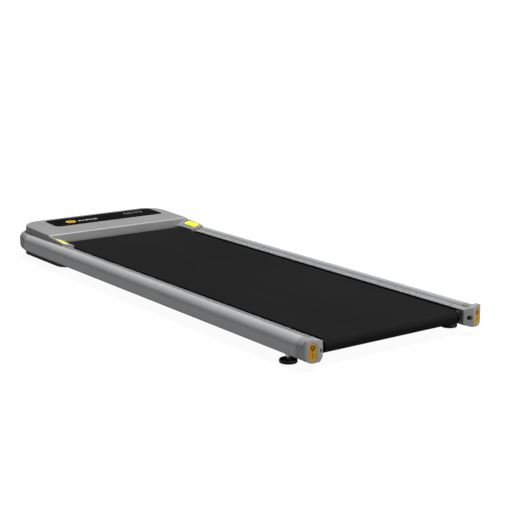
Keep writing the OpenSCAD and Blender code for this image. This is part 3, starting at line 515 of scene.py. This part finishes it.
def lathe(profile, centre, axis="Z", n=96):
    """Turns (radius, height) points in millimetres round an axis through centre."""
    rings = []
    for k in range(n):
        a = 2 * math.pi * k / n
        ring = []
        for r, h in profile:
            u, v = r * math.cos(a), r * math.sin(a)
            p = (u, v, h) if axis == "Z" else ((h, u, v) if axis == "X" else (u, h, v))
            ring.append((p[0] + centre[0], p[1] + centre[1], p[2] + centre[2]))
        rings.append(ring)
    bm = bmesh.new()
    rows = [[bm.verts.new(tuple(c * MM for c in p)) for p in ring] for ring in rings]
    m = len(profile)
    for k in range(n):
        a, b = rows[k], rows[(k + 1) % n]
        for i in range(m - 1):
            quad = (a[i], b[i], b[i + 1], a[i + 1])
            bm.faces.new(quad)
    bmesh.ops.remove_doubles(bm, verts=bm.verts, dist=1e-7)
    bmesh.ops.dissolve_degenerate(bm, edges=bm.edges, dist=1e-7)
    return bm


def mirrored(bm):
    """A copy of the mesh on the other side of X = 0."""
    other = bm.copy()
    for v in other.verts:
        v.co.x = -v.co.x
    bmesh.ops.reverse_faces(other, faces=other.faces)
    return other


def merged(*parts):
    """One mesh from several."""
    out = parts[0]
    for part in parts[1:]:
        mesh = bpy.data.meshes.new("part")
        part.to_mesh(mesh)
        part.free()
        out.from_mesh(mesh)
        bpy.data.meshes.remove(mesh)
    return out


def boolean(bm, cutters, operation="DIFFERENCE"):
    """bm with each cutter mesh taken away, or joined on."""
    base = to_object(bm, "base", None)
    for cutter in cutters:
        tool = to_object(cutter, "tool", None)
        mod = base.modifiers.new("cut", "BOOLEAN")
        mod.operation = operation
        mod.solver = "EXACT"
        mod.object = tool
        deps = bpy.context.evaluated_depsgraph_get()
        mesh = bpy.data.meshes.new_from_object(base.evaluated_get(deps))
        base.modifiers.clear()
        base.data = mesh
        bpy.data.objects.remove(tool)
    out = bmesh.new()
    out.from_mesh(base.data)
    bpy.data.objects.remove(base)
    return out


def bevelled(bm, width, segments=3, angle=30):
    """bm with its sharp edges rounded."""
    base = to_object(bm, "base", None)
    mod = base.modifiers.new("bevel", "BEVEL")
    mod.width = width * MM
    mod.segments = segments
    mod.limit_method = "ANGLE"
    mod.angle_limit = math.radians(angle)
    mod.use_clamp_overlap = True
    deps = bpy.context.evaluated_depsgraph_get()
    mesh = bpy.data.meshes.new_from_object(base.evaluated_get(deps))
    bpy.data.objects.remove(base)
    out = bmesh.new()
    out.from_mesh(mesh)
    return out


def piece(bm, name, material, body, replaces=(), angle=SMOOTH):
    obj = to_object(bm, name, material, angle)
    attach(obj, body)
    if replaces:
        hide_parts(*replaces)
    return obj


def both_sides(make, names, material, body, replaces, angle=SMOOTH):
    """The right-hand piece and its mirror image."""
    right = make()
    left = mirrored(right)
    for bm, side, node in ((left, 0, replaces[0]), (right, 1, replaces[1])):
        bodies = body if isinstance(body, str) else body[side]
        piece(bm, names[side], material, bodies, (node,), angle)


# ---------------------------------------------------------------- rails and bumper


def rail_profile(groove_floor, ribs=True):
    """Outer section of the right-hand rail, counter-clockwise from the inner lip's underside."""
    pts = [(LIP_X, LIP_Z - 2.5), (LIP_X, LIP_Z - 0.5), (LIP_X + 0.5, LIP_Z)]
    depth = 1.0 if ribs else 0.0
    for x in RIB_X:
        top = LIP_Z + RIB_SLOPE * (x - LIP_X)
        pts += [(x, top), (x + 0.3, top - depth * 0.7), (x + 0.7, top - depth), (x + 1.3, top - depth),
                (x + 1.7, top - depth * 0.7), (x + RIB_W, top + RIB_SLOPE * RIB_W)]
    left, right = GROOVE_X - GROOVE_W / 2, GROOVE_X + GROOVE_W / 2
    pts += [(left - 0.4, LIP_Z + 1.5), (left, LIP_Z + 1.1), (left, groove_floor),
            (right, groove_floor), (right, LIP_Z + 1.3), (right + 0.4, LIP_Z + 2.0)]
    start = right + 0.4
    for i in range(1, 10):
        u = 1 - i / 10
        pts.append((CROWN_X - u * (CROWN_X - start), CROWN_Z - (CROWN_Z - LIP_Z - 2.0) * u * u))
    pts += arc(CROWN_X, CROWN_Z - CROWN_R, CROWN_R, 90, 0, 28)
    pts += arc(HALF_W - RAIL_FOOT_R, RAIL_LOW + RAIL_FOOT_R, RAIL_FOOT_R, 0, -90, 12)
    pts += arc(INNER_WALL + 3, RAIL_LOW + 3, 3, 270, 180, 6)
    pts += [(INNER_WALL, LIP_Z - 5)]
    return pts


def rail():
    """Extrusion with a deep slot in the groove beside the end cap, and a pocket for the axle block."""
    slot = rail_profile(LIP_Z - 5)
    plain = rail_profile(LIP_Z - 0.2)
    rings = [[(x, y, z) for x, z in section] for y, section in
             ((RAIL_REAR, slot), (RAIL_REAR + SLOT_LEN, slot), (RAIL_REAR + SLOT_LEN, plain),
              (-300, plain), (100, plain), (RAIL_FRONT, plain))]
    bm = bmesh.new()
    rows = [[bm.verts.new((p[0] * MM, p[1] * MM, p[2] * MM)) for p in ring] for ring in rings]
    n = len(slot)
    for low, high in zip(rows, rows[1:]):
        for i in range(n):
            j = (i + 1) % n
            if all((a.co - b.co).length < 1e-9 for a, b in ((low[i], high[i]), (low[j], high[j]))):
                continue
            bm.faces.new((low[i], low[j], high[j], high[i]))
    bm.faces.new(list(reversed(rows[0])))
    bm.faces.new(rows[-1])
    bmesh.ops.remove_doubles(bm, verts=bm.verts, dist=1e-7)
    bmesh.ops.recalc_face_normals(bm, faces=bm.faces)
    low_x, low_z, high_x, high_z = POCKET
    pocket = loft([[(low_x, y, low_z), (high_x, y, low_z), (high_x, y, high_z), (low_x, y, high_z)]
                   for y in (RAIL_REAR - 2, POCKET_FRONT)])
    bmesh.ops.recalc_face_normals(pocket, faces=pocket.faces)
    return boolean(bm, [pocket])


def make_rails(material):
    both_sides(rail, ("rail_left", "rail_right"), material, "frame", ("left_rail", "right_rail"))


def bumper_section(blend):
    """(inset from the outer face, height) points; blend goes from the rail's section to the bumper's."""
    top_r = CROWN_R + (14 - CROWN_R) * blend
    top_z = CROWN_Z + (BUMPER_Z - CROWN_Z) * blend
    low_r = RAIL_FOOT_R + (17 - RAIL_FOOT_R) * blend
    outer = [(26.0, top_z)] + arc(top_r, top_z - top_r, top_r, 90, 180, 20)
    outer += arc(low_r, RAIL_LOW + low_r, low_r, 180, 270, 16) + [(26.0, RAIL_LOW)]
    inner = [(26.0, RAIL_LOW + 3)] + arc(low_r, RAIL_LOW + low_r, max(low_r - 3, 4), 270, 180, 16)
    inner += arc(top_r, top_z - top_r, top_r - 3, 180, 90, 20) + [(26.0, top_z - 3)]
    return outer + inner


def bumper():
    """Front bumper: one section swept up both flanks, round the corners and across the front."""
    stations = []
    steps = 10
    for i in range(steps + 1):
        t = i / steps
        y = RAIL_FRONT + t * (HALF_L - BUMPER_R - RAIL_FRONT)
        stations.append((HALF_W, y, 0.0, t * t * (3 - 2 * t) * 0.5))
    turn = 36
    for i in range(1, turn + 1):
        a = 90.0 * i / turn
        x = HALF_W - BUMPER_R + BUMPER_R * math.cos(math.radians(a))
        y = HALF_L - BUMPER_R + BUMPER_R * math.sin(math.radians(a))
        stations.append((x, y, a, min(1.0, 0.5 + i / turn)))
    half = [(x, y, a, b) for x, y, a, b in stations]
    path = half + [(-x, y, 180 - a, b) for x, y, a, b in reversed(half)]
    rings = []
    for x, y, a, b in path:
        c, s = math.cos(math.radians(a)), math.sin(math.radians(a))
        rings.append([(x - d * c, y - d * s, z) for d, z in bumper_section(b)])
    bm = loft(rings)
    hole = loft([[(x, y, z) for x, z in pill(CONN[0], CONN[2], CONN[1], CONN[3], 2.5, 4)]
                 for y in (HALF_L + 2, HALF_L - 14)])
    return boolean(bm, [hole])


# ---------------------------------------------------------------- rear end caps


TURN = (math.cos(math.radians(CAP_TURN)), math.sin(math.radians(CAP_TURN)))


def on_face(u, v, z):
    """A point u along the right-hand badge face and v into the cap."""
    return (CAP_FACE_X + u * TURN[0] - v * TURN[1], -HALF_L + u * TURN[1] + v * TURN[0], z)


def on_face_mesh(bm):
    """Moves a mesh drawn in (u, v, z) onto the right-hand badge face."""
    for v in bm.verts:
        v.co = Vector(on_face(*(c / MM for c in v.co))) * MM
    return bm


def cap():
    """End cap: stands proud of the rail, slants to the inner side, with a bolt hole and a badge seat."""
    outline = [(LIP_X, LIP_Z), (LIP_X, 26.0), (LIP_X + 12, CAP_LOW + 2.4)]
    outline += arc(HALF_W - 17, CAP_LOW + 17, 17, -90, 0, 16)
    outline += arc(HALF_W - 13, CAP_TOP - 13, 13, 0, 100, 18)
    outline += [(LIP_X + 22, CAP_TOP - 2.6)]
    proud = loft([[(x, y, z) for x, z in outline] for y in (-HALF_L + CAP_STEP, -HALF_L - 4)])
    corner_x = HALF_W - CAP_CORNER
    corner_y = -HALF_L + ((corner_x - CAP_FACE_X) * TURN[1] + CAP_CORNER) / TURN[0]
    plan = [(LIP_X - 1, -HALF_L + CAP_STEP + 4), (LIP_X - 1, -HALF_L + CAP_STEP - 0.6)]
    plan += [(CAP_FACE_X, -HALF_L)]
    plan += arc(corner_x, corner_y, CAP_CORNER, 270 + CAP_TURN, 360, 12) + [(HALF_W, -HALF_L + CAP_STEP + 4)]
    trim = loft([[(x, y, z) for x, y in plan] for z in (5, 90)])
    head = bevelled(boolean(proud, [trim], "INTERSECT"), 1.3, 3, 24)
    section = rail_profile(LIP_Z - 4.5, False)
    neck = loft([[(x, y, z) for x, z in section] for y in (-HALF_L + CAP_STEP - 1.5, RAIL_REAR)])
    bolt_hole = lathe([(0, -12), (5.4, -12), (5.4, 18), (0, 18)], (BOLT_X, -HALF_L, BOLT_Z), "Y", 48)
    rim = pill(LABEL_U - 9.7, LABEL_Z - 19.2, LABEL_U + 9.7, LABEL_Z + 19.2, 9.4)
    seat = loft([[(x, y, z) for x, z in rim] for y in (1.6, -4)])
    return boolean(boolean(head, [neck], "UNION"), [bolt_hole, on_face_mesh(seat)])


def badge():
    """Amber insert: a domed pill with a raised rim."""
    rings = []
    for d, y in ((0.0, 1.5), (0.0, 0.5), (0.35, 0.12), (1.0, 0.02), (1.5, 0.35), (1.9, 0.45), (4.0, 0.3)):
        base = pill(LABEL_U - 9.3, LABEL_Z - 18.8, LABEL_U + 9.3, LABEL_Z + 18.8, 9.0, 14)
        rings.append([(x, y, z) for x, z in inset(base, d)])
    rings.reverse()
    return on_face_mesh(loft(rings))


def badge_marks():
    """Dark ring with a short pointer, lying in the badge's face."""
    cz = LABEL_Z + 9.0
    ring = lathe([(2.2, 0.5), (2.2, 0.0), (2.6, -0.12), (4.6, -0.12), (5.0, 0.0), (5.0, 0.5), (2.2, 0.5)],
                 (LABEL_U, 0.1, cz), "Y", 40)
    pointer = loft([[(x, v, z) for x, z in pill(LABEL_U - 0.9, cz - 8.4, LABEL_U + 0.9, cz - 4.2, 0.8, 5)]
                    for v in (0.55, 0.02)])
    bmesh.ops.recalc_face_normals(ring, faces=ring.faces)
    bmesh.ops.recalc_face_normals(pointer, faces=pointer.faces)
    return on_face_mesh(merged(ring, pointer))


def badge_bar():
    """Fainter bar in the lower half of the badge."""
    bar = pill(LABEL_U - 1.6, LABEL_Z - 13, LABEL_U + 1.6, LABEL_Z - 1, 1.5, 6)
    return on_face_mesh(loft([[(x, v, z) for x, z in bar] for v in (0.55, 0.1)]))


def doubled(bm):
    """The mesh and its mirror image as one."""
    return merged(bm, mirrored(bm))


# ---------------------------------------------------------------- hood


def hood_z(y):
    """Height of the hood's sloping top."""
    return HOOD_REAR_Z + RISE * (y - HOOD_REAR)


def hood_plan(d, n=30):
    """Outline of the hood seen from above, drawn in by d."""
    r = HOOD_CORNER
    return ([(-(HOOD_HALF - d), HOOD_REAR + d), (HOOD_HALF - d, HOOD_REAR + d)]
            + arc(HOOD_HALF - r, HOOD_FRONT - r, r - d, 0, 90, n)
            + arc(-(HOOD_HALF - r), HOOD_FRONT - r, r - d, 90, 180, n))


def hood():
    """Upright skirt, softly rounded top edge, and a ramp running back along each rail."""
    rings = [[(x, y, HOOD_BASE - 4) for x, y in hood_plan(-2.0)],
             [(x, y, HOOD_BASE + 2) for x, y in hood_plan(-1.6)]]
    edge = 4.6
    for i in range(9):
        a = math.radians(90 * i / 8)
        d = 0.3 + edge * (1 - math.cos(a))
        drop = edge * (1 - math.sin(a))
        rings.append([(x, y, hood_z(y) - drop) for x, y in hood_plan(d)])
    body = loft(rings)

    def wing_ring(y, rise, d, skew):
        pts = [(WING_IN + d, HOOD_BASE - 4), (WING_IN + d, 63.0 - d)]
        pts += [(WING_IN + 0.35 + d, 64.0 - d), (WING_IN + 1.2 + d, 64.8 - d), (WING_IN + 2.6 + d, 65.3 - d)]
        top = 73.8 + rise - d
        pts += [(HOOD_HALF - 8 - d, top - 0.9), (HOOD_HALF - 5 - d, top - 0.15), (HOOD_HALF - 3 - d, top),
                (HOOD_HALF - 1.5 - d, top - 0.5), (HOOD_HALF - 0.5 - d, top - 1.6),
                (HOOD_HALF - d, top - 3.2),
                (HOOD_HALF + 1.8 - d, HOOD_BASE - 4)]
        return [(x, y + skew * (HOOD_HALF - x), z) for x, z in pts]

    stations = [(WING_REAR + 0.0, 0.0, 1.3), (WING_REAR + 0.25, 0.0, 0.75), (WING_REAR + 0.8, 0.0, 0.3),
                (WING_REAR + 1.6, 0.1, 0.0)]
    wing = loft([wing_ring(y, r, d, 0.13) for y, r, d in stations] + [wing_ring(HOOD_REAR + 12, 7.2, 0, 0)])
    r = 20.0
    fillet = [(WING_IN + 6, HOOD_REAR + 6), (WING_IN - r, HOOD_REAR + 6)]
    fillet += arc(WING_IN - r, HOOD_REAR - r - 1.4, r, 90, 0, 24) + [(WING_IN + 6, HOOD_REAR - r - 1.4)]
    foot = loft([[(x, y, z) for x, y in fillet] for z in (HOOD_BASE - 4, HOOD_BASE + 3.2)])
    bmesh.ops.recalc_face_normals(foot, faces=foot.faces)
    bmesh.ops.recalc_face_normals(wing, faces=wing.faces)
    solid = boolean(body, [wing, mirrored(wing), foot, mirrored(foot)], "UNION")
    return solid


def tilt(points, depth):
    """Plan points lifted onto the hood's slope, depth below its top."""
    return [(x, y, hood_z(y) - depth) for x, y in points]


def panel_plan(grow=0.0):
    """Outline of the display panel seen from above."""
    x0, y0, x1, y1 = PANEL
    pts = (arc(x1 - 12, y0 + 12, 12, -90, 0, 12) + arc(x1 - 22, y1 - 22, 22, 0, 90, 18)
           + arc(x0 + 20, y1 - 20, 20, 90, 180, 18) + arc(x0 + 14, y0 + 14, 14, 180, 270, 12))
    return inset(pts, -grow)


def reflector_frame():
    """Where a safety strip lies: its centre on the right-hand ramp and the face's directions."""
    low = Vector((WING_IN + 2.6, 0, 65.3))
    high = Vector((HOOD_HALF - 8, 0, 73.8 - 0.9))
    across = (high - low).normalized()
    along = Vector((0, 1, 7.2 / (HOOD_REAR + 12 - WING_REAR) * 0.5)).normalized()
    normal = across.cross(along).normalized()
    if normal.z < 0:
        normal = -normal
    y = 445.0
    t = (y - WING_REAR) / (HOOD_REAR + 12 - WING_REAR)
    x = 211.5
    z_low, z_high = 65.3, 73.8 - 0.9 + 7.2 * t
    z = z_low + (z_high - z_low) * (x - low.x) / (high.x - low.x)
    return Vector((x, y, z)), across, along, normal


def reflector_ring(d, lift):
    """Outline of the right-hand safety strip, drawn in by d and lifted off its face."""
    centre, across, along, normal = reflector_frame()
    pts = inset(pill(-9.5, -27, 9.5, 27, 5.0, 10), d)
    return [tuple(centre + across * u + along * v + normal * lift) for u, v in pts]


# ---------------------------------------------------------------- belt and feet


def band(ra, rb, n=48):
    """Outline round the rear and front rollers at radii ra and rb."""
    ay, az = REAR_AXIS
    by, bz = FRONT_AXIS
    d = math.hypot(by - ay, bz - az)
    t = math.degrees(math.atan2(bz - az, by - ay))
    f = math.degrees(math.acos((ra - rb) / d))
    return arc(by, bz, rb, t - f, t + f, n) + arc(ay, az, ra, t + f, t + 360 - f, n)


def belt():
    """Endless belt with softly rounded edges."""
    ra, rb = REAR_R + PLAY, FRONT_R + PLAY
    section = [(BELT_HALF - 0.5, 0.0), (BELT_HALF, 0.3),
               (BELT_HALF, BELT_T - 0.4), (BELT_HALF - 0.4, BELT_T),
               (0.0, BELT_T), (-(BELT_HALF - 0.4), BELT_T), (-BELT_HALF, BELT_T - 0.4), (-BELT_HALF, 0.3),
               (-(BELT_HALF - 0.5), 0.0)]
    loops = [[(x, y, z) for y, z in band(ra + t, rb + t)] for x, t in section]
    bm = bmesh.new()
    rows = [[bm.verts.new(tuple(c * MM for c in p)) for p in ring] for ring in loops]
    n = len(loops[0])
    for k in range(len(rows)):
        a, b = rows[k], rows[(k + 1) % len(rows)]
        for i in range(n):
            j = (i + 1) % n
            bm.faces.new((a[i], a[j], b[j], b[i]))
    return bm


def foot_pad():
    """Moulded pad with a stepped rim, finger flutes and a hub."""
    flutes, n = 20, 120
    rows = [(0, 0.0), (16.4, 0.0), (18.4, 0.5), (19.3, 1.6), (19.5, 3.6), (19.4, 6.2), (18.8, 7.8),
            (17.6, 8.7), (16.6, 8.6), (15.6, 7.7), (12.2, 7.8), (10.8, 9.2), (10.0, 10.2), (7.6, 10.9),
            (5.2, 11.0), (0, 11.0)]
    bm = bmesh.new()
    rings = []
    for r, z in rows:
        ring = []
        for k in range(n):
            a = 2 * math.pi * k / n
            rr = r
            if 1.0 < z < 7.0 and r > 17:
                rr -= 0.5 * max(0.0, math.cos(flutes * a)) ** 2
            x, y = REAR_FOOT[0] + rr * math.cos(a), REAR_FOOT[1] + rr * math.sin(a)
            ring.append(bm.verts.new((x * MM, y * MM, z * MM)))
        rings.append(ring)
    for low, high in zip(rings, rings[1:]):
        for k in range(n):
            j = (k + 1) % n
            bm.faces.new((low[k], low[j], high[j], high[k]))
    bmesh.ops.remove_doubles(bm, verts=bm.verts, dist=1e-6)
    bmesh.ops.dissolve_degenerate(bm, edges=bm.edges, dist=1e-6)
    return bm


def foot_stem():
    """Threaded stem above the pad."""
    profile = [(0, 10.6), (4.5, 10.6)]
    z = 10.9
    while z < 38.5:
        profile += [(4.5, z), (4.98, z + 0.35), (4.98, z + 0.65), (4.5, z + 1.0)]
        z += 1.25
    profile += [(4.5, 39.8), (0, 39.8)]
    return lathe(profile, (REAR_FOOT[0], REAR_FOOT[1], 0), "Z", 40)


# ---------------------------------------------------------------- display marks


def plate(outline, low=-0.03, high=-0.09):
    """A thin printed or lit shape lying on the display lens."""
    return loft([tilt(outline, low), tilt(outline, high)])


def digit_zero(x, y, w=9.0, h=14.0, t=1.1):
    """A numeral 0 in straight segments, as plates."""
    half = h / 2
    bars = [(x + t, y, x + w - t, y + t), (x + t, y + h - t, x + w - t, y + h)]
    for edge in (x, x + w - t):
        bars += [(edge, y + t, edge + t, y + half - 0.4), (edge, y + half + 0.4, edge + t, y + h - t)]
    return [plate([(a, b), (c, b), (c, d), (a, d)]) for a, b, c, d in bars]


def display_digits():
    """Four zeros and a colon."""
    parts = []
    for x in (92, 107, 128, 143):
        parts += digit_zero(x, 624)
    parts += [plate(pill(121.5, y, 123.5, y + 2, 0.9, 5)) for y in (627.5, 633)]
    return merged(*parts)


def panel_bars():
    """Plain status bars beside the emblem."""
    lengths = (9, 6, 11, 7, 12)
    parts, x = [], -69.0
    for length in lengths:
        parts.append(plate(pill(x, 611, x + length, 619, 1.2, 5)))
        x += length + 4.0
    return merged(*parts)


def panel_emblem():
    """Plain amber ring round a dot."""
    outer, inner = pill(-108, 604, -78, 629, 12.4, 14), pill(-101, 610.5, -85, 622.5, 5.9, 14)
    bm = bmesh.new()
    rows = [[bm.verts.new(tuple(c * MM for c in p)) for p in tilt(ring, depth)]
            for ring, depth in ((outer, -0.03), (outer, -0.09), (inner, -0.09), (inner, -0.03))]
    n = len(outer)
    for k in range(4):
        a, b = rows[k], rows[(k + 1) % 4]
        for i in range(n):
            j = (i + 1) % n
            bm.faces.new((a[i], a[j], b[j], b[i]))
    return merged(bm, plate(pill(-96, 613.5, -90, 619.5, 2.9, 8)))


# ---------------------------------------------------------------- build

make_camera()
make_stage()

alloy = painted_alloy()
hood_plastic = moulded("hood_plastic", (0.272, 0.272, 0.275), (0.40, 0.50), 1500, 0.00008, 0.12)
cap_plastic = moulded("cap_plastic", (0.335, 0.335, 0.338), (0.36, 0.46), 1500, 0.00008, 0.12)
tray_plastic = moulded("tray_plastic", (0.06, 0.061, 0.063), (0.5, 0.62), 1000)
black_plastic = moulded("black_plastic", (0.014, 0.014, 0.015), (0.4, 0.52), 1100)
black_rubber = rubber()
belt_black = belt_material()
acrylic = gloss_black()
prisms = reflector_material()
amber = amber_material()
amber_dark = amber_material("amber_mark", (0.07, 0.012, 0.003))
amber_faint = amber_material("amber_bar", (0.36, 0.15, 0.006))
zinc = metal("zinc_steel", (0.52, 0.53, 0.55))
chrome = metal("bright_chrome", (0.78, 0.78, 0.79), (0.08, 0.16))
dark_steel = metal("painted_steel", (0.05, 0.05, 0.055), (0.35, 0.5))
copper = metal("copper_winding", (0.55, 0.24, 0.12), (0.3, 0.42), (200, 2, 2))
board_green = board_material()
fibre = deck_material()
black_bolt = metal("black_oxide", (0.03, 0.03, 0.032), (0.35, 0.5))

NODE_MATERIALS = {
    "left_frame_bar": zinc, "right_frame_bar": zinc, "cross_members": zinc, "deck_board": fibre,
    "deck_cushions": black_rubber, "deck_screws": black_bolt,
    "front_axle": zinc, "front_axle_brackets": zinc,
    "motor_can": dark_steel, "motor_end_bells": alloy, "motor_bracket": zinc, "motor_screws": zinc,
    "drive_belt": black_rubber, "controller_tray": alloy, "controller_board": board_green,
    "controller_cover": black_plastic, "display_board": board_green, "motor_lead": black_rubber,
    "display_lead": black_rubber, "mains_lead": black_rubber, "speed_sensor": black_plastic,
    "hood_screws": zinc, "belly_tray": tray_plastic, "tray_screws": zinc, "connection_panel": black_plastic,
    "power_inlet": black_plastic, "breaker_body": black_plastic, "front_feet": black_rubber,
    "wheel_axles": zinc, "rear_foot_nuts": chrome, "axle_blocks": zinc, "end_cap_screws": zinc,
    "front_roller_tube": zinc, "front_roller_bearings": zinc, "roller_pulley": black_plastic,
    "motor_shaft": zinc, "motor_core": copper, "motor_pulley": zinc, "rear_axle": zinc,
    "rear_roller_tube": dark_steel, "rear_roller_bearings": zinc, "left_tension_bolt": black_bolt,
    "right_tension_bolt": black_bolt, "left_wheel": black_plastic, "right_wheel": black_plastic,
    "switch_rocker": black_plastic, "reset_button": black_plastic,
}
for node, material in NODE_MATERIALS.items():
    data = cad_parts[node].data
    data.materials.clear()
    data.materials.append(material)

# The rail alloy carries painted shade in the left-hand rail's rib valleys and groove.
make_rails(painted_alloy("rail_alloy", tint(SILVER, 1.45), True))
piece(bumper(), "bumper_shell", hood_plastic, "frame", ("front_bumper",))
both_sides(cap, ("cap_left", "cap_right"), cap_plastic, "frame",
           ("left_end_cap", "right_end_cap"), CRISP)
piece(doubled(badge()), "badge_inserts", amber, "frame", ("end_cap_inserts",))
piece(doubled(badge_marks()), "badge_marks", amber_dark, "frame")
piece(doubled(badge_bar()), "badge_bars", amber_faint, "frame")

panel_cut = loft([tilt(panel_plan(0.35), 1.3), tilt(panel_plan(0.35), -6)])
strip_cut = loft([reflector_ring(-0.25, -1.0), reflector_ring(-0.25, 5)])
bmesh.ops.recalc_face_normals(strip_cut, faces=strip_cut.faces)
bmesh.ops.recalc_face_normals(panel_cut, faces=panel_cut.faces)
hood_mesh = boolean(hood(), [panel_cut, strip_cut, mirrored(strip_cut)])
bmesh.ops.holes_fill(hood_mesh, edges=[e for e in hood_mesh.edges if e.is_boundary], sides=8)
piece(hood_mesh, "hood_shell", hood_plastic, "frame", ("hood",), CRISP)

panel_rings = [tilt(inset(panel_plan(0), d), depth) for d, depth in
               ((0, 1.25), (0, 0.3), (0.2, 0.08), (0.6, -0.02), (1.6, -0.05))]
panel_mesh = loft(panel_rings)
piece(panel_mesh, "display_lens", acrylic, "frame", ("display_panel",))

# Painted glow: the printed emblem's ink is given emission though it is no lamp.
amber_ink = print_ink("amber_ink", (0.85, 0.46, 0.01), 0.25)
piece(panel_emblem(), "panel_emblem", amber_ink, "frame")
# Painted glow: the printed bars' ink is given emission though it is no lamp.
white_ink = print_ink("white_ink", (0.55, 0.55, 0.55), 0.1)
piece(panel_bars(), "panel_bars", white_ink, "frame")
lit_ink = print_ink("lit_digits", (0.45, 0.46, 0.48), 0.25)
piece(display_digits(), "display_digits", lit_ink, "frame")

both_sides(lambda: loft([reflector_ring(d, lift) for d, lift in
                         ((0, -0.95), (0, -0.1), (0.25, 0.16), (0.8, 0.28), (2.0, 0.32))]),
           ("reflector_left", "reflector_right"), prisms, "frame",
           ("left_reflector", "right_reflector"))

piece(belt(), "belt_loop", belt_black, "frame", ("walking_belt",))

both_sides(foot_pad, ("foot_pad_left", "foot_pad_right"), black_rubber,
           ("left_foot", "right_foot"),
           ("left_foot", "right_foot"))
stem = foot_stem()
stem_left = mirrored(stem)
piece(stem_left, "foot_stem_left", chrome, "left_foot")
piece(stem, "foot_stem_right", chrome, "right_foot")

bpy.context.scene.view_settings.view_transform = "Standard"
